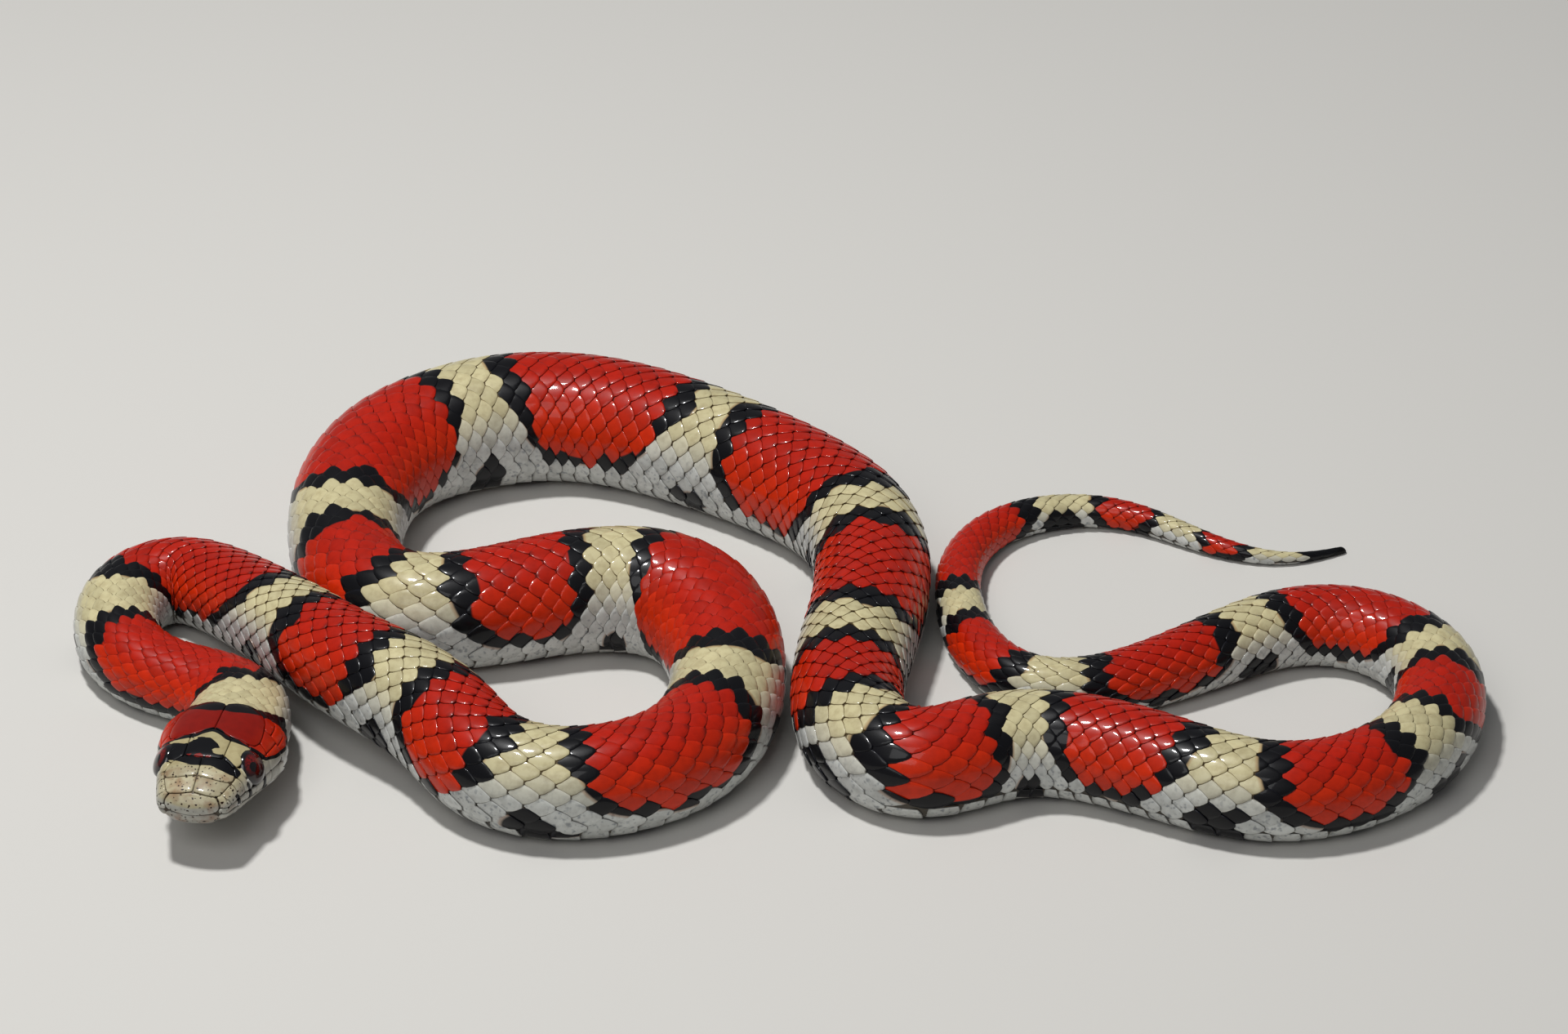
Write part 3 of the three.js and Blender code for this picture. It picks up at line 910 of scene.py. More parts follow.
HEAD_PLATES: tuple[HeadPlate, ...] = (
    HeadPlate(
        "frontal",
        ((8, 0), (9.3, 17), (10.2, 18), (13.05, 20), (13.15, 0)),
        paired=False,
    ),
    HeadPlate(
        "supraocular",
        ((9.3, 17), (10.2, 18), (13.05, 20), (13.35, 29), (13.75, 38), (13.2, 45), (11.8, 48), (10.3, 46),
         (9.4, 37), (9.15, 27)),
    ),
    HeadPlate(
        "parietal",
        ((8, 0), (9.3, 17), (9.15, 27), (9.4, 37), (9.1, 46), (8.2, 48), (5.8, 42), (3.4, 36), (2.1, 30),
         (1.6, 20), (1.8, 8), (2.4, 0)),
    ),
    HeadPlate(
        "prefrontal",
        ((13.15, 0), (13.05, 20), (13.35, 29), (13.75, 38), (14.4, 46), (15.2, 52), (15.9, 43), (16.1, 25),
         (16, 10), (15.85, 0)),
    ),
    HeadPlate(
        "internasal",
        ((15.85, 0), (16, 10), (16.1, 25), (15.9, 43), (15.7, 50), (17.2, 46), (17.7, 43), (18.05, 39),
         (18.15, 20), (17.95, 0)),
    ),
    HeadPlate(
        "nasal_front",
        ((18.05, 39), (17.7, 43), (17.75, 56), (17.5, 70), (17.3, 88), (18.45, 89), (18.35, 62)),
    ),
    HeadPlate(
        "nasal_rear",
        ((17.2, 46), (15.7, 50), (15.7, 58), (15.95, 87), (17.3, 88), (17.5, 70), (17.75, 56), (17.7, 43)),
    ),
    HeadPlate("loreal", ((14.6, 51), (15.2, 52), (15.7, 50), (15.7, 58), (15.95, 87), (14.45, 87), (14.4, 68))),
    HeadPlate(
        "preocular",
        ((13.75, 38), (14.4, 46), (14.6, 51), (14.4, 68), (14.45, 87), (13.6, 89), (13.4, 80), (13.6, 66),
         (13.2, 45)),
    ),
    HeadPlate("postocular_upper", ((9.4, 37), (10.3, 46), (10, 56), (9.9, 67), (8.6, 65), (8.2, 48), (9.1, 46))),
    HeadPlate("postocular_lower", ((9.9, 67), (10.1, 80), (10.5, 89), (8.8, 89), (8.6, 65))),
    HeadPlate("temporal_upper", ((8.2, 48), (8.6, 65), (6.1, 64), (5.95, 53), (5.8, 42))),
    HeadPlate("temporal_lower", ((8.6, 65), (8.8, 89), (7, 88), (6.1, 86), (6.05, 75), (6.1, 64))),
    HeadPlate("temporal_rear_upper", ((5.8, 42), (5.95, 53), (3.3, 52), (2.9, 44), (3.4, 36))),
    HeadPlate("temporal_rear_middle", ((5.95, 53), (6.1, 64), (6.05, 69), (3.5, 68), (3.2, 60), (3.3, 52))),
    HeadPlate("temporal_rear_lower", ((6.05, 69), (6.05, 75), (6.1, 86), (4.1, 86), (3.6, 77), (3.5, 68))),
    HeadPlate(
        "rostral",
        ((17.95, 0), (18.15, 20), (18.05, 39), (18.35, 62), (18.45, 89), (18.6, 105), (18.82, 128), (18.87, 152),
         (18.88, 180)),
        paired=False,
        wraps_tip=True,
    ),
    HeadPlate(
        "mental",
        ((18.87, 180), (18.86, 152), (18.8, 128), (18.56, 108), (18.2, 122), (17.6, 160), (17.3, 180)),
        paired=False,
        wraps_tip=True,
    ),
    HeadPlate("chin_front", ((17.2, 180), (17.4, 164), (16.6, 142), (13.6, 148), (13.1, 164), (13, 180))),
    HeadPlate("chin_rear", ((13, 180), (13.1, 164), (13.6, 148), (11.5, 150), (9.6, 158), (9, 170), (9.2, 180))),
)


@dataclass
class SideView:
    """Flat picture of the head's side, true to size at one plate: forward place and length round the head."""

    angles: Numbers
    arcs: Numbers
    size: float = 1

    def onto(self, forward: Numbers, angle: Numbers) -> Numbers:
        """Places in the picture."""
        arc = np.sign(angle) * np.interp(np.abs(angle), self.angles, self.arcs)
        return np.stack([forward, arc * self.size], -1)

    def back(self, flat: Numbers) -> tuple[Numbers, Numbers]:
        """Forward places and angles on the head."""
        arc = flat[:, 1]
        return flat[:, 0], np.sign(arc) * np.interp(np.abs(arc) / self.size, self.arcs, self.angles)


@dataclass
class FrontView:
    """Flat picture of the snout as seen from in front: the length back from its tip, and the angle."""

    spots: Numbers
    from_tip: Numbers

    def onto(self, forward: Numbers, angle: Numbers) -> Numbers:
        """Places in the picture."""
        reach = np.interp(-forward, -self.spots, self.from_tip)
        return np.stack([reach * np.sin(angle), reach * np.cos(angle)], -1)

    def back(self, flat: Numbers) -> tuple[Numbers, Numbers]:
        """Forward places and angles on the head."""
        return np.interp(np.hypot(*flat.T), self.from_tip, self.spots), np.arctan2(flat[:, 0], flat[:, 1])


@dataclass
class HeadPlates:
    """The large plates of the head, as one joined piece."""

    animal: Animal
    markings: Markings
    lip_sutures: tuple[float, ...] = (18.5, 16.0, 13.5, 11.9, 10.2, 8.5, 6.9, 5.3)
    jaw_sutures: tuple[float, ...] = (18.4, 16.7, 14.9, 13.1, 11.3, 9.5, 7.6, 5.8)
    lip_tops: Stations = ((5.3, 91), (7, 88), (10.4, 89), (11.8, 91), (13.6, 89), (16, 87), (18.5, 89))
    above_mouth: float = 0.6
    below_mouth: float = 1.6
    jaw_depth: float = 21
    edge_points: int = 44
    corner: float = 0.14
    deepest_cut: float = 0.3
    insets: tuple[float, ...] = (0.02, 0.04, 0.09, 0.18)
    inset_heights: tuple[float, ...] = (-0.02, 0.09, 0.155, 0.185)
    deepest_inset: float = 0.6
    middle_height: float = 0.21
    spokes: tuple[float, ...] = (0.75, 0.5, 0.25)
    narrowest: float = 0.35
    eye_opening: float = 1.8
    eye_clearance: float = 0.03
    brow: float = 0.2
    brow_reach: float = 1.2
    nostril_radius: float = 0.42
    near_nostril: float = 1
    opening_height: float = 0.1
    tip_cover: float = 17
    snout_from: float = 14
    map_start: float = 0.05
    map_step: float = 0.04
    map_round: float = 7
    disc_place: float = 0.9
    disc_step: float = 0.012
    disc_hole: float = 0.001
    table_turns: int = 4001
    table_spots: int = 60
    seed: int = 11

    def __post_init__(self) -> None:
        """Measures the snout's tip and the head's section once, as lengths over the surface."""
        head = self.animal.head
        angles = np.linspace(0, math.pi, self.table_turns)
        section = [signed_power(part, 2 / head.square) for part in (np.sin(angles), np.cos(angles))]
        self.side_view = SideView(angles, np.r_[0, np.cumsum(np.hypot(*np.diff(section)))])
        snout = np.linspace(self.snout_from, head.snout_start, self.table_spots)[:-1]
        turn = np.linspace(0, math.pi / 2, self.table_spots)
        spots = np.r_[snout, head.snout_start + (head.length - head.snout_start) * np.sin(turn)]
        line = self.animal.point(-spots, np.full(len(spots), math.pi / 2))
        steps = np.linalg.norm(np.diff(line, axis=0), axis=1)
        self.front_view = FrontView(spots[::-1], np.r_[0, np.cumsum(steps[::-1])])

    def lip_plates(self) -> list[HeadPlate]:
        """The labials above the mouth line and the ones below it."""
        plates = []
        for row, sutures in (("lip", self.lip_sutures), ("jaw", self.jaw_sutures)):
            for i, (front, rear) in enumerate(zip(sutures, sutures[1:])):
                spots = np.array([front, (front + rear) / 2, rear])
                mouth = at_stations(self.markings.mouth, spots)
                if row == "lip":
                    near, far = at_stations(self.lip_tops, spots), mouth - self.above_mouth
                else:
                    near, far = mouth + self.below_mouth, mouth + self.below_mouth + self.jaw_depth
                plates.append(HeadPlate(f"{row}_{i}", (*zip(spots, near), *zip(spots[::-1], far[::-1]))))
        return plates

    def view_of(self, plate: HeadPlate) -> SideView | FrontView:
        """Chooses the flat picture that a plate is filled in.

        Args:
            plate: One plate.

        Returns:
            The picture, true to size at the plate's middle.
        """
        if plate.wraps_tip:
            return self.front_view
        forward, turn = np.array(plate.outline, float).mean(axis=0)
        ends = math.radians(turn) + np.array([-0.1, 0.1])
        real = self.animal.point(np.full(2, -forward), ends)
        drawn = self.side_view.onto(np.zeros(2), ends)
        size = np.linalg.norm(real[1] - real[0]) / np.linalg.norm(drawn[1] - drawn[0])
        return SideView(self.side_view.angles, self.side_view.arcs, float(size))

    def rounded_edge(self, corners: Numbers) -> Numbers:
        """Cuts the corners of an outline back, twice halves what is left of them, and spaces points along it.

        Args:
            corners: Corners of the outline.

        Returns:
            Evenly spaced points round it.
        """
        cut = []
        for neighbour in (1, -1):
            side = np.roll(corners, neighbour, axis=0) - corners
            size = np.linalg.norm(side, axis=1)[:, None]
            cut.append(corners + side / size * np.minimum(self.corner, self.deepest_cut * size))
        ring = np.stack(cut, 1).reshape(-1, 2)
        for _ in range(2):
            following = np.roll(ring, -1, axis=0)
            ring = np.stack([0.75 * ring + 0.25 * following, 0.25 * ring + 0.75 * following], 1).reshape(-1, 2)
        closed = np.vstack([ring, ring[:1]])
        walked = np.r_[0, np.cumsum(np.hypot(*np.diff(closed, axis=0).T))]
        spots = np.linspace(0, walked[-1], self.edge_points, endpoint=False)
        return np.stack([np.interp(spots, walked, part) for part in closed.T], -1)

    def outside_openings(self, forward: Numbers, angle: Numbers) -> tuple[Numbers, Numbers]:
        """Moves the parts of an outline that lie in the eye or the nostril out to their round edge.

        Args:
            forward: Forward places of the outline.
            angle: Its angles.

        Returns:
            Both where they now are.
        """
        head = self.animal.head
        points = self.animal.raised(-forward, angle, self.opening_height)
        level, reach, around, _ = head.past_eye(points, 1, 0)
        push = np.maximum(self.eye_opening - reach, 0) * (level > 0)
        moved = points + around * push[:, None]
        middle, out = self.animal.nostril(1, self.opening_height)
        offset = moved - middle
        near = np.linalg.norm(offset, axis=1) < self.near_nostril
        offset -= (offset @ out)[:, None] * out
        away = np.maximum(np.linalg.norm(offset, axis=1), TINY)
        push = np.maximum(self.nostril_radius - away, 0) * near
        moved += offset / away[:, None] * push[:, None]
        changed = np.linalg.norm(moved - points, axis=1) > 0
        places = head.locate(moved)
        return np.where(changed, places[0], forward), np.where(changed, places[1], angle)

    def filled(self, plate: HeadPlate) -> tuple[Numbers, Numbers, Numbers, Numbers]:
        """Fills the outline of one plate with rings of points that step in and up to its middle.

        Args:
            plate: One plate.

        Returns:
            Forward places, angles, heights and rim of all its points.
        """
        view = self.view_of(plate)
        forward, turn = np.array(plate.outline, float).T
        corners = view.onto(forward, np.radians(turn))
        x, y = corners.T
        if np.sum(x * np.roll(y, -1) - np.roll(x, -1) * y) < 0:
            corners = corners[::-1]
        edge = self.rounded_edge(corners)
        if not plate.wraps_tip:
            edge = view.onto(*self.outside_openings(*view.back(edge)))
        along = np.roll(edge, -1, axis=0) - np.roll(edge, 1, axis=0)
        outward = np.stack([along[:, 1], -along[:, 0]], -1) / np.linalg.norm(along, axis=1)[:, None]
        middle = edge.mean(axis=0)
        spoke = edge - middle
        span = np.maximum(np.sum(spoke * outward, axis=1), self.narrowest * np.hypot(*spoke.T))
        rings = [edge - spoke * np.minimum(inset / span, self.deepest_inset)[:, None] for inset in self.insets]
        rings += [middle + (rings[-1] - middle) * share for share in self.spokes]
        flat = np.vstack([*rings, middle])
        inner = np.linspace(self.inset_heights[-1], self.middle_height, len(self.spokes) + 2)[1:]
        levels = np.array([*self.inset_heights, *inner])
        heights = np.append(np.repeat(levels[:-1], len(edge)), levels[-1])
        forward, angle = view.back(flat)
        if plate.name == "supraocular":
            reach = self.animal.head.past_eye(self.animal.raised(-forward, angle, self.opening_height), 1, 0)[1]
            heights = heights + self.brow * (1 - eased(reach - self.eye_opening, 0, self.brow_reach))
        return forward, angle, heights, (np.arange(len(flat)) < len(edge)) * 1.0

    def faces(self) -> list[Numbers]:
        """Rings of quads, a fan at the middle and the face that closes the underside."""
        count, rings = self.edge_points, len(self.insets) + len(self.spokes)
        here = np.arange(count)
        after = np.roll(here, -1)
        quads = [np.stack([here, after, after + count, here + count], -1) + r * count for r in range(rings - 1)]
        last = (rings - 1) * count
        fan = np.stack([here + last, after + last, np.full(count, rings * count)], -1)
        return [np.concatenate(quads), fan, here[::-1][None]]

    def make_room(self, points: Numbers) -> Numbers:
        """Moves plate edges aside where an eyeball stands.

        Args:
            points: Points of the plates.

        Returns:
            The points where they now lie.
        """
        head = self.animal.head
        for hand in (1, -1):
            level, reach, around, _ = head.past_eye(points, hand, self.eye_clearance)
            room = np.sqrt(np.maximum((head.eye_radius + self.eye_clearance) ** 2 - level**2, 0))
            points = points + around * (np.maximum(room - reach, 0) * (level > 0))[:, None]
        return points

    def unwrapped(self, plate: HeadPlate, forward: Numbers, turn: Numbers) -> Numbers:
        """Gives the places of a plate on the unwrap map: a strip for the head and a disc for the snout's tip.

        Args:
            plate: One plate.
            forward: Forward places of its points.
            turn: Their angles.

        Returns:
            Two numbers for each point.
        """
        if not plate.wraps_tip:
            return np.stack([self.map_start + self.map_step * forward, 0.5 + turn / self.map_round], -1)
        far = self.disc_step * (self.animal.head.length - forward) + self.disc_hole
        return np.stack([self.disc_place + far * np.sin(turn), 0.5 + far * np.cos(turn)], -1)

    def build(self, finish: bpy.types.Material) -> None:
        """Makes every plate on both sides and joins them.

        Args:
            finish: Material of the plates.
        """
        chance = np.random.default_rng(self.seed)
        parts, blocks, start = [], [[], [], []], 0
        for plate in (*HEAD_PLATES, *self.lip_plates()):
            forward, angle, height, rim = self.filled(plate)
            for hand in (1, -1) if plate.paired else (1,):
                turn = hand * angle
                tone = np.full(len(forward), chance.uniform())
                parts.append((
                    self.animal.raised(-forward, turn, height),
                    self.unwrapped(plate, forward, turn),
                    self.markings.marks(-forward, turn),
                    self.markings.wear(-forward, turn),
                    np.stack([rim, np.zeros_like(rim), tone], -1),
                ))
                for block, faces in zip(blocks, self.faces()):
                    block.append((faces if hand == 1 else faces[:, ::-1]) + start)
                start += len(forward)
        points, unwrap, marks, wear, lay = (np.concatenate(part) for part in zip(*parts))
        faces = [np.concatenate(block) for block in blocks]
        piece = mesh_object("head_plates", self.make_room(points), faces, unwrap)
        add_layers(piece.data, marks=marks, wear=wear, lay=lay)
        declare(piece, "head_scales", finish)

    def covers(self, forward: Numbers, angle: Numbers) -> Numbers:
        """Tells where plates lie, by counting how often a line from each place crosses their outlines.

        Args:
            forward: Forward places.
            angle: Angles on either side.

        Returns:
            Whether each place is under a plate.
        """
        turn = np.abs(np.degrees(angle))
        under = forward > self.tip_cover
        for plate in (*HEAD_PLATES, *self.lip_plates()):
            crossings = np.zeros(np.shape(forward), int)
            for (x0, y0), (x1, y1) in zip(plate.outline, (*plate.outline[1:], plate.outline[0])):
                if y0 != y1:
                    spans = (y0 > turn) != (y1 > turn)
                    crossings += spans & (forward < x0 + (x1 - x0) * (turn - y0) / (y1 - y0))
            under |= crossings % 2 == 1
        return under


@dataclass
class Lattice:
    """Where the roots of the scales lie: how long and wide they are and how many rows go round."""

    animal: Animal
    lengths: Stations = (
        (-17, 1.2), (-6, 1.6), (0, 1.85), (60, 2.45), (240, 2.6), (360, 2.45), (480, 2.3), (577, 1.6),
    )
    rows: Stations = ((0, 21), (60, 20.4), (150, 19.6), (330, 19.4), (480, 17), (520, 12.5), (550, 9), (577, 6))
    coat_edge: float = 0.67
    front: float = -17.5
    step: float = 0.2
    end_gap: float = 0.6

    def __post_init__(self) -> None:
        """Counts the scales along a row once."""
        self.spots = np.arange(self.front, self.animal.tail_tip, self.step)
        self.counts = np.cumsum(self.step / at_stations(self.lengths, self.spots))

    def roots(self, offset: float) -> Numbers:
        """Distances of the scales of one row, moved along by a share of the spacing."""
        last = int(self.counts[-1] - self.end_gap)
        return np.interp(np.arange(1, last) + offset, self.counts, self.spots)

    def pitch(self, distance: Numbers) -> Numbers:
        """Share of the half round from one row to the next."""
        return 2 * self.coat_edge / at_stations(self.rows, distance)


@dataclass(kw_only=True)
class Coat:
    """What small scales and belly plates have in common: how they are laid over the skin and joined."""

    animal: Animal
    markings: Markings
    lattice: Lattice
    follow: float = 0.8
    full_width: float = 2.4
    thinnest: float = 0.3
    front_end: float = -18.5
    tip_gap: float = 0.02
    patch: float = 0.0015
    map_start: float = 20
    map_length: float = 610

    def lay(self, along: Numbers, share: Numbers, height: Numbers) -> dict[str, Numbers]:
        """Places plates over the skin, thinner where the body is slim and never below the floor.

        Args:
            along: Distances of their points, one row for each plate.
            share: Shares from the back to the belly, + on the animal's left.
            height: Heights above the skin.

        Returns:
            Distances, angles and points, by name.
        """
        along = np.clip(along, self.front_end, self.animal.tail_tip - self.tip_gap)
        angle = self.animal.body.angle_of(share)
        slim = np.clip(self.animal.body.half_width(along) / self.full_width, self.thinnest, 1)
        points = self.animal.raised(along, angle, height * slim)
        points[..., 2] = np.maximum(points[..., 2], 0)
        return {"along": along, "angle": angle, "points": points}

    def map_place(self, root: Numbers, tip: Numbers) -> Numbers:
        """Place along the unwrap map of every point of the plates with these roots."""
        return ((root + self.map_start) / self.map_length)[:, None] + self.patch * tip

    def join(
        self, name: str, points: Numbers, faces: tuple[Numbers, Numbers], unwrap: tuple[Numbers, Numbers],
        lay: tuple[Numbers, Numbers, Numbers], marks: Numbers, wear: Numbers, finish: bpy.types.Material,
    ) -> None:
        """Joins plates that are laid into one piece.

        Args:
            name: Name of the piece.
            points: Points of the plates, one row for each plate.
            faces: Faces of the first plate.
            unwrap: Both places of the points on the unwrap map.
            lay: Rim, tip and tone of the points.
            marks: Their markings.
            wear: What else the finish varies with.
            finish: Material of the piece.
        """
        count, corners = points.shape[:2]
        starts = np.arange(count) * corners
        blocks = [(block + starts[:, None, None]).reshape(-1, block.shape[1]) for block in faces]
        flat, laid = (np.stack([np.broadcast_to(part, (count, corners)) for part in group], -1)
                      for group in (unwrap, lay))
        piece = mesh_object(name, points.reshape(-1, 3), blocks, flat.reshape(-1, 2))
        add_layers(piece.data, marks=marks, wear=wear, lay=laid)
        declare(piece, "body_scales", finish)


class Region(Enum):
    """Pieces of the coat, each a run of rows from the head to the tail, and the rows that it holds."""

    BACK = ("coat_back", range(-2, 3))
    LEFT_UPPER = ("coat_left_upper", range(3, 7))
    RIGHT_UPPER = ("coat_right_upper", range(-6, -2))
    LEFT_LOWER = ("coat_left_lower", range(7, 17))
    RIGHT_LOWER = ("coat_right_lower", range(-16, -6))


@dataclass(kw_only=True)
class BodyScales(Coat):
    """The small smooth scales of the back, the flanks, the nape and the throat.

    Each is a small closed plate. Lengths along it are shares of the spacing along a row, with + towards the
    tail, and widths are shares of the spacing between rows.
    """

    plates: HeadPlates
    scale_along: tuple[float, ...] = (-0.62, -0.42, -0.18, 0.06, 0.24, 0.4, 0.515, 0.56)
    half_widths: tuple[float, ...] = (0.3, 0.6, 0.84, 0.9, 0.73, 0.47, 0.25, 0.12)
    crowns: tuple[float, ...] = (-0.06, -0.005, 0.062, 0.115, 0.148, 0.168, 0.172, 0.168)
    scale_across: tuple[float, ...] = (-1, -0.86, -0.46, 0, 0.46, 0.86, 1)
    dome: float = 0.055
    rim: float = 0.05
    throat_end: float = 2.5
    nape_end: float = 2
    jitter: float = 0.04
    sway_pivot: float = 0.3
    colour_jitter: float = 0.25
    middle: float = 0.1
    last_row_lift: float = 0.07
    map_turn: float = 0.45
    map_width: float = 0.7

    def roots(self, rows: range) -> tuple[Numbers, Numbers]:
        """Finds the scales of some rows, without those under head plates or past the coat's edge.

        Args:
            rows: Numbers of the rows, with 0 on the middle of the back.

        Returns:
            Distance and row number of every scale.
        """
        distances, numbers = [], []
        for row in rows:
            spots = self.lattice.roots(0.5 * (row % 2))
            limit = at_stations(self.lattice.rows, spots) / 2 - 0.5
            full = 1 / self.lattice.pitch(spots)
            kept = (abs(row) <= limit) | ((spots < self.throat_end) & (abs(row) <= full))
            angle = self.animal.body.angle_of(row * self.lattice.pitch(spots))
            kept &= ~((spots < self.nape_end) & self.plates.covers(-spots, angle))
            distances.append(spots[kept])
            numbers.append(np.full(kept.sum(), row))
        return np.concatenate(distances), np.concatenate(numbers)

    def build(self, region: Region, finish: bpy.types.Material) -> None:
        """Lays the scales of one region over the skin and joins them.

        Args:
            region: The region.
            finish: Material of the scales.
        """
        name, rows = region.value
        chance = np.random.default_rng(100 + rows.start)
        root, row = self.roots(rows)
        i, j, rim = plate_grid(len(self.scale_along), len(self.scale_across))
        lengthwise, sideways = np.array(self.scale_along)[i], np.array(self.scale_across)[j]
        height = np.array(self.crowns)[i] - self.dome * sideways**2 - self.rim * rim
        across, tip = sideways * np.array(self.half_widths)[i], lengthwise / self.scale_along[-1]
        length = at_stations(self.lattice.lengths, root)[:, None]
        shift, widen, sway = chance.uniform(-self.jitter, self.jitter, (3, len(root), 1))
        along = root[:, None] + shift + lengthwise * length
        share = row[:, None] + across * (1 + widen) + sway * (lengthwise + self.sway_pivot)
        last = np.abs(row) > at_stations(self.lattice.rows, root) / 2 - 1.5
        share = share * self.lattice.pitch(along)
        laid = self.lay(along, share, height + self.last_row_lift * last[:, None])
        middle = np.broadcast_to(root[:, None] + self.middle * length, along.shape)
        centre = middle, self.animal.body.angle_of(row[:, None] * self.lattice.pitch(middle))
        own = self.markings.marks(laid["along"], laid["angle"])
        marks = self.follow * self.markings.marks(*centre) + (1 - self.follow) * own
        marks[..., :2] += chance.normal(0, self.colour_jitter, (len(root), 1, 2))
        tone = chance.uniform(0, 1, len(root))[:, None]
        row_turn = (row * self.lattice.pitch(root) * self.map_turn)[:, None]
        turn = 0.5 + row_turn + self.patch * across / self.map_width
        self.join(
            name, laid["points"], plate_faces(len(self.scale_along), len(self.scale_across)),
            (self.map_place(root, tip), turn), (rim, tip, tone), marks, self.markings.wear(*centre), finish,
        )


@dataclass(kw_only=True)
class BellyPlates(Coat):
    """The wide plates under the trunk, and the pairs of them under the tail."""

    start: float = 2.5
    vent: float = 488
    tail_gap: float = 4
    half_span: float = 0.37
    tail_half_span: float = 0.53
    plate_along: tuple[float, ...] = (-0.6, -0.2, 0.2, 0.46, 0.56, 0.6)
    crowns: tuple[float, ...] = (0, 0.065, 0.11, 0.14, 0.15, 0.148)
    columns: int = 21
    corner_cut: float = 0.22
    rim: float = 0.03
    end_drop: float = 0.02
    map_turn: float = 1.3
    seed: int = 5

    def build(self, finish: bpy.types.Material) -> None:
        """Lays the plates in order from the throat to the tail's tip and joins them.

        Args:
            finish: Material of the plates.
        """
        chance = np.random.default_rng(self.seed)
        spots = self.lattice.roots(0.25)
        trunk = spots[(spots > self.start) & (spots <= self.vent)]
        tail = spots[(spots > self.vent) & (spots < self.animal.tail_tip - self.tail_gap)]
        # The plates under the tail alternate: those on the right lie half a plate further back.
        root = np.r_[trunk, tail, tail + 0.5 * at_stations(self.lattice.lengths, tail)]
        hand = np.r_[np.zeros(len(trunk)), np.ones(len(tail)), -np.ones(len(tail))][:, None]
        row, column, rim = plate_grid(len(self.plate_along), self.columns)
        place = np.sin(np.linspace(-1, 1, self.columns) * math.pi / 2)[column]
        lengthwise = np.array(self.plate_along)[row]
        length = at_stations(self.lattice.lengths, root)[:, None]
        along = root[:, None] + lengthwise * (1 - self.corner_cut * np.abs(place) ** 8) * length
        half = np.where(hand == 0, self.half_span, self.tail_half_span * self.half_span)
        share = 1 - hand * 0.5 * self.half_span + place * half
        height = np.array(self.crowns)[row] - self.rim * rim - self.end_drop * place**6
        laid = self.lay(along, share, height)
        centre = np.broadcast_to(root[:, None], along.shape)
        tip = lengthwise / self.plate_along[-1]
        tone = chance.uniform(0, 1, len(root))[:, None]
        marks = self.markings.marks(self.follow * centre + (1 - self.follow) * laid["along"], laid["angle"])
        self.join(
            "belly_plates", laid["points"], plate_faces(len(self.plate_along), self.columns),
            (self.map_place(root, tip), 0.5 + (share - 1) * self.map_turn), (rim, tip, tone), marks,
            self.markings.wear(centre, laid["angle"]), finish,
        )


@dataclass
class Eye:
    """One eyeball under its clear scale, with the pupil turned a little to the front."""

    animal: Animal
    hand: int
    pupil_turn: float = 40
    pupil_lift: float = 32
    segments: int = 72
    rings: int = 48

    def build(self, finish: bpy.types.Material) -> None:
        """Adds a fine ball, turns its pole to the pupil and flattens it along the gaze.

        Args:
            finish: Material of the eye.
        """
        head, side = self.animal.head, "left" if self.hand > 0 else "right"
        deselect_all()
        bpy.ops.mesh.primitive_uv_sphere_add(
            segments=self.segments, ring_count=self.rings, radius=head.eye_radius * MM, location=(0, 0, 0)
        )
        piece = bpy.context.object
        piece.name = piece.data.name = f"eyeball_{side}"
        pole = head.outward(self.hand, self.pupil_turn, self.pupil_lift)
        gaze = head.outward(self.hand, head.eye_turn, head.eye_lift)
        up = head.axis(np.array([head.eye_forward]))[2][0]
        across = np.cross(UP, pole)
        across /= np.linalg.norm(across)
        ball = vertices_of(piece) @ np.stack([across, np.cross(pole, across), pole])
        unit = ball / np.linalg.norm(ball, axis=1)[:, None]
        from_pupil, from_gaze = (np.degrees(np.arccos(np.clip(unit @ way, -1, 1))) for way in (pole, gaze))
        ball -= (ball @ gaze)[:, None] * gaze * (1 - head.eye_half_depth / head.eye_radius)
        piece.data.vertices.foreach_set("co", (ball + head.eye_centre(self.hand) * MM).ravel())
        add_layers(piece.data, iris=np.stack([from_pupil, unit @ up, from_gaze], -1))
        smooth_over(has_doubles=False)
        declare(piece, "eye", finish, f"eye_{side}")


def linear(colour: str) -> tuple[float, float, float, float]:
    """Linear colour of an sRGB hex value."""
    parts = [int(colour[i : i + 2], 16) / 255 for i in (1, 3, 5)]
    return (*(c / 12.92 if c <= 0.04045 else ((c + 0.055) / 1.055) ** 2.4 for c in parts), 1.0)


def per_metre(size: float) -> float:
    """Scale of a pattern on Object coordinates whose features are a size in millimetres."""
    return 1 / (size * MM)


def add_node(
    tree: bpy.types.NodeTree, kind: str, inputs: Optional[dict[str | int, Any]] = None, **settings: Any
) -> bpy.types.Node:
    """Adds a node, sets its attributes and fills or links its inputs.

    Args:
        tree: Node tree of a material or the world.
        kind: Type of the node.
        inputs: Values, colours in hex, or sockets to link, by the input's name or number.
        settings: Attributes of the node.

    Returns:
        The new node.
    """
    node = tree.nodes.new(kind)
    for name, value in settings.items():
        setattr(node, name, value)
    for key, value in (inputs or {}).items():
        if isinstance(value, bpy.types.NodeSocket):
            tree.links.new(value, node.inputs[key])
        else:
            node.inputs[key].default_value = linear(value) if isinstance(value, str) else value
    return node


def empty_material(name: str) -> tuple[bpy.types.Material, bpy.types.NodeTree]:
    """New material with an empty node tree.

    Args:
        name: Name of the material.

    Returns:
        The material and its node tree.
    """
    material = bpy.data.materials.new(name)
    material.use_nodes = True
    material.node_tree.nodes.clear()
    return material, material.node_tree


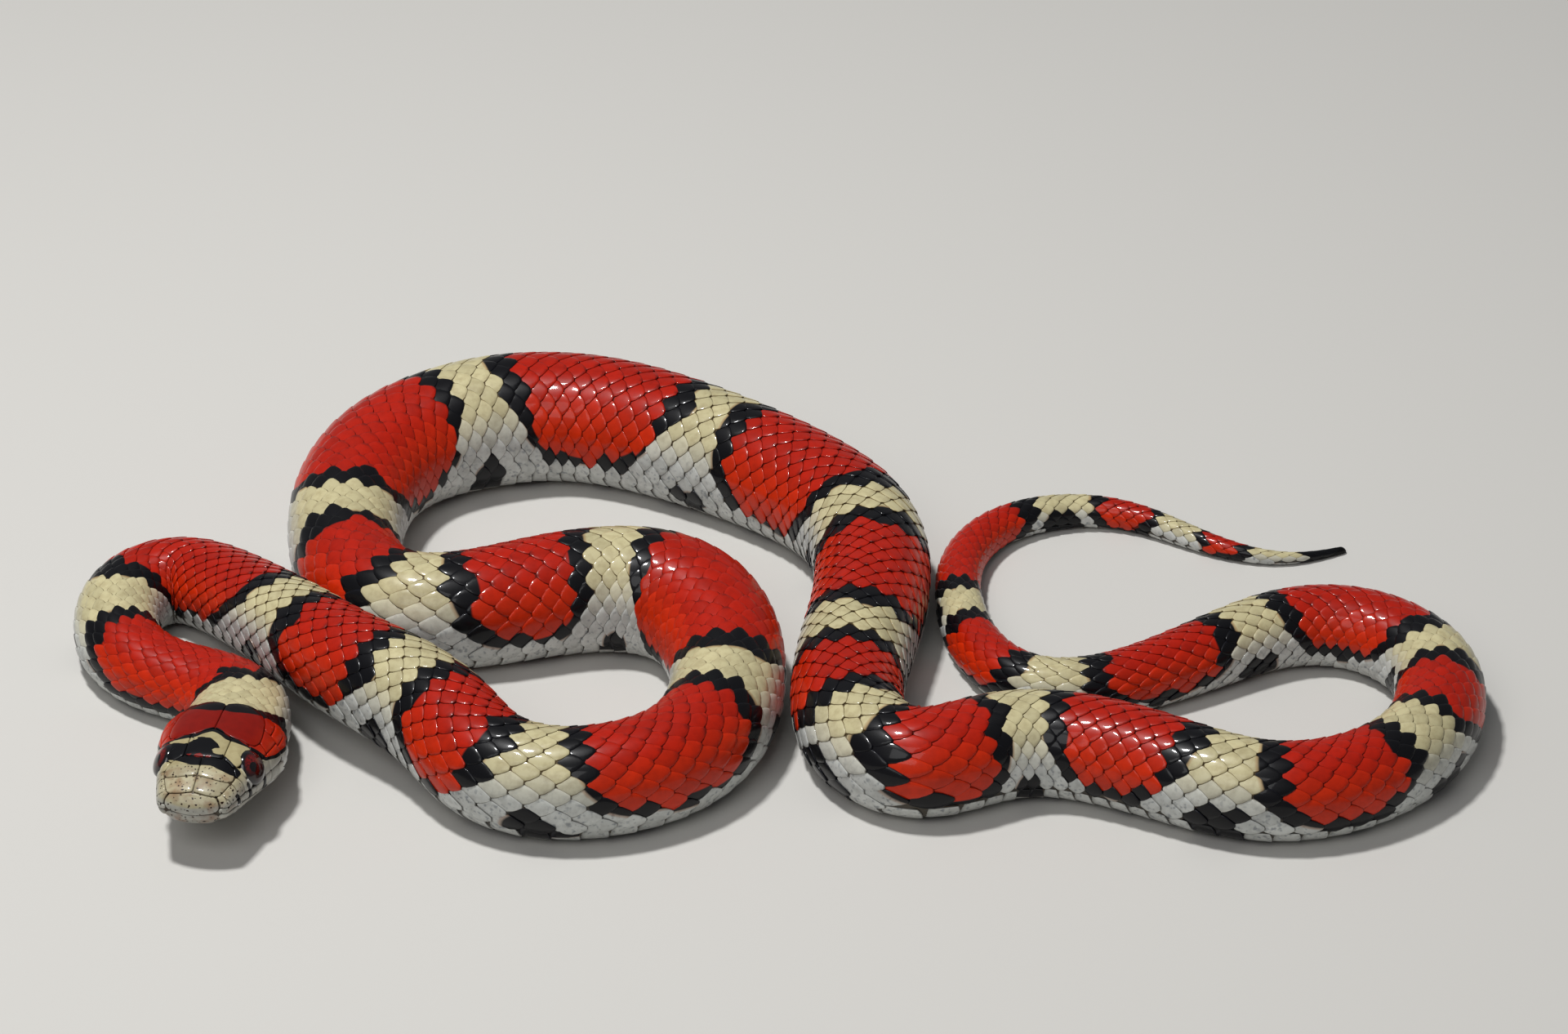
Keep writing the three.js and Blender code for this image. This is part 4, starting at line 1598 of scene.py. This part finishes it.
def surface_values(
    tree: bpy.types.NodeTree, layers: dict[str, tuple[str, ...]], patterns: Rows
) -> dict[Any, Any]:
    """Reads what the mesh carries and adds even patterns.

    Args:
        tree: Node tree of a material.
        layers: Vertex attributes, each with names for its three numbers.
        patterns: Name, size of the features in millimetres, and added detail of each pattern.

    Returns:
        Sockets by name, with the place on the piece.
    """
    values: dict[Any, Any] = {"place": add_node(tree, "ShaderNodeTexCoord").outputs["Object"]}
    for layer, names in layers.items():
        source = add_node(tree, "ShaderNodeAttribute", attribute_name=layer)
        parts = add_node(tree, "ShaderNodeSeparateXYZ", {0: source.outputs["Vector"]})
        values.update(zip(names, parts.outputs))
    for name, size, detail in patterns:
        inputs = {"Vector": values["place"], "Scale": per_metre(size), "Detail": detail}
        values[name] = add_node(tree, "ShaderNodeTexNoise", inputs).outputs["Fac"]
    return values


def glazed(tree: bpy.types.NodeTree, values: dict[Any, Any], masks: Rows, glazes: Rows) -> bpy.types.NodeSocket:
    """Lays colours one over another.

    Args:
        tree: Node tree of a material.
        values: Sockets by name, to which the results are added.
        masks: Name of each mask, the value that it is made from, and that value where the mask is 0 and 1.
        glazes: Name of each result, the colour under it, the colour over it, and the masks and strengths whose
            product is how much of the upper colour shows. Colours are names or hex values.

    Returns:
        The last result.
    """
    for name, value, low, high in masks:
        inputs = {"Value": values[value], "From Min": low, "From Max": high}
        values[name] = add_node(tree, "ShaderNodeMapRange", inputs).outputs[0]
    for name, under, over, *factors in glazes:
        share, *others = (values.get(factor, factor) for factor in factors)
        for factor in others:
            share = add_node(tree, "ShaderNodeMath", {0: share, 1: factor}, operation="MULTIPLY").outputs[0]
        inputs = {0: share, 6: values.get(under, under), 7: values.get(over, over)}
        values[name] = add_node(tree, "ShaderNodeMix", inputs, data_type="RGBA").outputs[2]
    return values[name]


@dataclass(frozen=True)
class Keratin:
    """Smooth snake scale: thin clear horn over coloured skin, which gives deep colour and small wet glints."""

    name: str
    cream: str = "#BFB68E"
    grey_white: str = "#C3C5C1"
    horn_brown: str = "#6A4E22"
    grey_brown: str = "#67655F"
    back_red: str = "#A81803"
    flank_red: str = "#C42A05"
    # Dark red for random mottling and for the rim line of red scales, which is partly painted shade.
    dark_red_mottle_and_rim_shade: str = "#4A0602"
    black: str = "#07070B"
    black_edge: str = "#25262F"
    fringe: str = "#8A5A2C"
    grey_spot: str = "#70757A"
    brown_dot: str = "#24100A"
    brown_cloud: str = "#7E5230"
    # Strength of the rim line: partly the horn's own darker outline, partly painted shade at each scale's edge.
    edge_strength: float = 0.75
    coloured_edge_share: float = 0.6
    # Painted shade: share of its colour left to soft skin lying in the gaps between scales; 1 leaves scales as
    # they are.
    painted_gap_shade: float = 1.0
    roughness: float = 0.38
    specular: float = 0.14
    coat: float = 0.25
    coat_roughness: float = 0.07
    dot_spacing: float = 0.4
    dot_rag: float = 0.25
    spot_size: float = 0.55
    cloud_size: float = 1.6
    mottle_size: float = 0.9
    # Real horn is finer still. Its grain is drawn this coarse so that it shows.
    grain_size: float = 0.2
    grain_height: float = 0.0025
    tones: Span = (0.86, 1.06)

    def build(self) -> bpy.types.Material:
        """Makes the material, which reads the markings that the meshes carry."""
        material, tree = empty_material(self.name)
        layers = {
            "marks": ("red", "black", "pale"),
            "wear": ("speck", "back", "head"),
            "lay": ("rim", "tip", "tone"),
        }
        values = surface_values(tree, layers, (
            ("mottle", self.mottle_size, 3),
            ("spot", self.spot_size, 1),
            ("cloud", self.cloud_size, 2),
            ("rag", self.dot_rag, 1),
            ("grain", self.grain_size, 2),
        ))
        away = {0: 1.0, 1: values["head"]}
        values["body"] = add_node(tree, "ShaderNodeMath", away, operation="SUBTRACT").outputs[0]
        spaced = {"Vector": values["place"], "Scale": per_metre(self.dot_spacing)}
        cells = add_node(tree, "ShaderNodeTexVoronoi", spaced).outputs
        values["choice"] = add_node(tree, "ShaderNodeSeparateXYZ", {0: cells["Color"]}).outputs[0]
        ragged = {0: cells["Distance"], 1: values["rag"]}
        values["dot"] = add_node(tree, "ShaderNodeMath", ragged, operation="ADD").outputs[0]
        masks = (
            # Rim line: partly each scale's own darker outline, partly painted shade where its edge meets the
            # next scale.
            ("edge", "rim", 0.05, 0.6),
            ("brown patches", "mottle", 0.42, 0.75),
            ("spots", "spot", 0.56, 0.72),
            ("clouds", "cloud", 0.5, 0.72),
            ("few", "choice", 0.32, 0.37),
            ("dots", "dot", 0.82, 0.68),
            ("beside black", "black", -0.075, -0.03),
            ("dull patches", "mottle", 0.4, 0.8),
            ("at tip", "tip", 0.55, 0.95),
            ("some tips", "mottle", 0.45, 0.55),
            ("in black", "black", -0.02, 0.02),
            ("in red", "red", -0.02, 0.02),
        )
        soft_edge = self.edge_strength * self.coloured_edge_share
        colour = glazed(tree, values, masks, (
            ("brown", self.horn_brown, self.grey_brown, "pale"),
            ("light", self.cream, self.grey_white, "pale"),
            ("light", "light", "brown", "brown patches", 0.3),
            ("light", "light", self.grey_spot, "spots", "speck", "body", 0.7),
            ("light", "light", self.brown_cloud, "clouds", "speck", "head", 0.6),
            # Brown rim line on light scales: partly their own outline, partly painted shade.
            ("light", "light", "brown", "edge", self.edge_strength),
            ("light", "light", self.brown_dot, "dots", "few", "speck", "head"),
            ("light", "light", self.fringe, "beside black", "body", 0.5),
            ("warm", self.flank_red, self.back_red, "back"),
            ("warm", "warm", self.dark_red_mottle_and_rim_shade, "dull patches", 0.25),
            ("warm", "warm", self.black, "at tip", "back", "some tips", 0.6),
            # Dark red rim on red scales, partly painted shade; black scales turn a lighter blue-grey at the rim.
            ("warm", "warm", self.dark_red_mottle_and_rim_shade, "edge", soft_edge),
            ("dark", self.black, self.black_edge, "edge", soft_edge),
            ("pattern", "light", "dark", "in black"),
            ("pattern", "pattern", "warm", "in red"),
        ))
        # Each piece's own random tone, times the painted gap shade that darkens the soft skin between scales.
        low, high = (tone * self.painted_gap_shade for tone in self.tones)
        tone_and_gap_shade = add_node(tree, "ShaderNodeMapRange", {"Value": values["tone"], "To Min": low, "To Max": high})
        tone_inputs = {0: 1.0, 6: colour, 7: tone_and_gap_shade.outputs[0]}
        relief = {"Height": values["grain"], "Strength": 1.0, "Distance": self.grain_height * MM}
        toned = add_node(tree, "ShaderNodeMix", tone_inputs, data_type="RGBA", blend_type="MULTIPLY")
        finish = {
            "Base Color": toned.outputs[2],
            "Roughness": self.roughness,
            "Specular IOR Level": self.specular,
            "Coat Weight": self.coat,
            "Coat Roughness": self.coat_roughness,
            "Normal": add_node(tree, "ShaderNodeBump", relief).outputs[0],
        }
        shader = add_node(tree, "ShaderNodeBsdfPrincipled", finish)
        add_node(tree, "ShaderNodeOutputMaterial", {"Surface": shader.outputs[0]})
        return material


@dataclass(frozen=True)
class Spectacle:
    """The clear scale over a snake's eye: a wet mirror over a dark red iris, with a painted highlight at its
    top, and a round pupil.
    """

    pupil: str = "#020203"
    iris_low: str = "#230505"
    # Painted highlight: lighter red laid on the upper part of the iris.
    iris_highlight: str = "#6E0B08"
    rim: str = "#0B0A0E"
    pupil_reach: float = 17
    pupil_blur: float = 1
    iris_reach: float = 36
    iris_blur: float = 16
    eye_edge: float = 62
    edge_blur: float = 12
    fleck_size: float = 0.25

    def build(self) -> bpy.types.Material:
        """Makes the material, which reads how far each point is from the pupil's middle."""
        material, tree = empty_material("clear spectacle over a red iris")
        layers = {"iris": ("away", "up", "from gaze")}
        values = surface_values(tree, layers, (("fleck", self.fleck_size, 2),))
        masks = (
            # Painted highlight: the iris turns lighter red towards the top of the eye, as if lit from above.
            ("upper", "up", 0.1, 0.75),
            ("flecks", "fleck", 0.4, 0.75),
            ("past pupil", "away", self.pupil_reach - self.pupil_blur, self.pupil_reach + self.pupil_blur),
            ("past iris", "away", self.iris_reach, self.iris_reach + self.iris_blur),
            ("at edge", "from gaze", self.eye_edge - self.edge_blur, self.eye_edge),
        )
        colour = glazed(tree, values, masks, (
            ("iris", self.iris_low, self.iris_highlight, "upper"),
            ("iris", "iris", self.iris_low, "flecks"),
            ("eye", self.pupil, "iris", "past pupil"),
            ("eye", "eye", self.iris_low, "past iris"),
            ("eye", "eye", self.rim, "at edge"),
        ))
        wet = {"Roughness": 0.15, "IOR": 1.4, "Coat Weight": 0.6, "Coat Roughness": 0.02}
        shader = add_node(tree, "ShaderNodeBsdfPrincipled", {"Base Color": colour, **wet})
        add_node(tree, "ShaderNodeOutputMaterial", {"Surface": shader.outputs[0]})
        return material


@dataclass(frozen=True)
class Softbox:
    """A square softbox aimed at the middle of the animal, by compass direction and height in degrees."""

    name: str
    size: float
    power: float
    azimuth: float
    height: float
    far: float

    def add(self) -> None:
        """Adds the light."""
        a, e = math.radians(self.azimuth), math.radians(self.height)
        back = np.array([math.sin(a) * math.cos(e), -math.cos(a) * math.cos(e), math.sin(e)])
        light = bpy.data.lights.new(self.name, "AREA")
        light.shape, light.size, light.energy = "SQUARE", self.size * MM, self.power
        lamp = bpy.data.objects.new(self.name, light)
        lamp.location = back * self.far * MM
        lamp.rotation_euler = (math.pi / 2 - e, 0, a)
        bpy.context.collection.objects.link(lamp)


@dataclass(frozen=True)
class Studio:
    """Plain pale floor, soft light and the camera at the viewing angle of the reference.

    The small key softbox gives the sparkle on the scales, and the large one beside the camera fills the shadows.
    """

    floor_size: float = 6000
    floor_colour: str = "#C6C4BF"
    floor_roughness: float = 0.9
    fill_colour: str = "#F2F4F8"
    fill_strength: float = 0.2
    softboxes: tuple[Softbox, ...] = (
        Softbox("key softbox", 60, 3.3, -100, 74, 620),
        Softbox("front softbox", 420, 1.5, -25, 45, 800),
    )
    target: tuple[float, float, float] = (1.4, 27.7, 0)
    elevation: float = 30
    distance: float = 620
    focal_share: float = 6200 / 1920
    sensor: float = 36

    def lay_floor(self) -> None:
        """Adds the floor, with its edges far outside every view."""
        deselect_all()
        bpy.ops.mesh.primitive_plane_add(size=self.floor_size * MM)
        floor = bpy.context.object
        floor.name = floor.data.name = "floor"
        # Matt painted board: pale and dull all over, so the eye stays on the animal and its soft shadow.
        material, tree = empty_material("matt painted board")
        paint = {"Base Color": self.floor_colour, "Roughness": self.floor_roughness}
        shader = add_node(tree, "ShaderNodeBsdfPrincipled", paint)
        add_node(tree, "ShaderNodeOutputMaterial", {"Surface": shader.outputs[0]})
        floor.data.materials.append(material)

    def light(self) -> None:
        """Sets the world's even fill and both softboxes."""
        world = bpy.data.worlds.new("studio")
        bpy.context.scene.world = world
        world.use_nodes = True
        world.node_tree.nodes.clear()
        even = {"Color": self.fill_colour, "Strength": self.fill_strength}
        fill = add_node(world.node_tree, "ShaderNodeBackground", even)
        add_node(world.node_tree, "ShaderNodeOutputWorld", {"Surface": fill.outputs[0]})
        for softbox in self.softboxes:
            softbox.add()
        bpy.context.scene.view_settings.view_transform = "Standard"

    def add_camera(self) -> None:
        """Adds the camera at the reference's viewing angle and framing."""
        e = math.radians(self.elevation)
        camera = bpy.data.cameras.new("camera")
        camera.sensor_width, camera.lens = self.sensor, self.sensor * self.focal_share
        camera.clip_start, camera.clip_end = 0.01, 20
        holder = bpy.data.objects.new("camera", camera)
        x, y, z = self.target
        spot = (x, y - self.distance * math.cos(e), z + self.distance * math.sin(e))
        holder.location = [part * MM for part in spot]
        holder.rotation_euler = (math.pi / 2 - e, 0, 0)
        bpy.context.collection.objects.link(holder)
        bpy.context.scene.camera = holder

    def build(self) -> None:
        """Sets the floor, the lights and the camera."""
        self.lay_floor()
        self.light()
        self.add_camera()


def main() -> None:
    logging.basicConfig(level=logging.INFO, format="%(message)s")
    body = BodyForm(Midline())
    animal = Animal(body, HeadForm(body))
    markings = Markings(animal)
    # Soft skin shows as a dull dark line between scales, darkened by painted shade. It has no scale edges of its
    # own.
    soft_skin = Keratin(
        "soft skin between scales", cream="#8A7550", grey_white="#7C7468", painted_gap_shade=0.42, coat=0.05,
        roughness=0.5, edge_strength=0,
    )
    # Scale horn is thin and clear, so each scale has a deep even colour and one small glint.
    scale_horn = Keratin("smooth scale keratin")
    # The head's plates are thicker and a little smoother: duskier colours, and brown along their seams, partly
    # painted shade.
    plate_horn = Keratin(
        "smooth head plate keratin", cream="#ABA078", grey_white="#AFAEA4", back_red="#820F03",
        edge_strength=0.85, roughness=0.34,
    )
    Skin(animal, markings).build(soft_skin.build())
    plates = HeadPlates(animal, markings)
    plates.build(plate_horn.build())
    coat = {"animal": animal, "markings": markings, "lattice": Lattice(animal)}
    horn = scale_horn.build()
    scales = BodyScales(**coat, plates=plates)
    for region in Region:
        scales.build(region, horn)
    BellyPlates(**coat).build(horn)
    # The clear scale over the eye is smooth and looks wet: one sharp light over a dark eye.
    spectacle = Spectacle().build()
    for hand in (1, -1):
        Eye(animal, hand).build(spectacle)
    Studio().build()


if __name__ == "__main__":
    main()
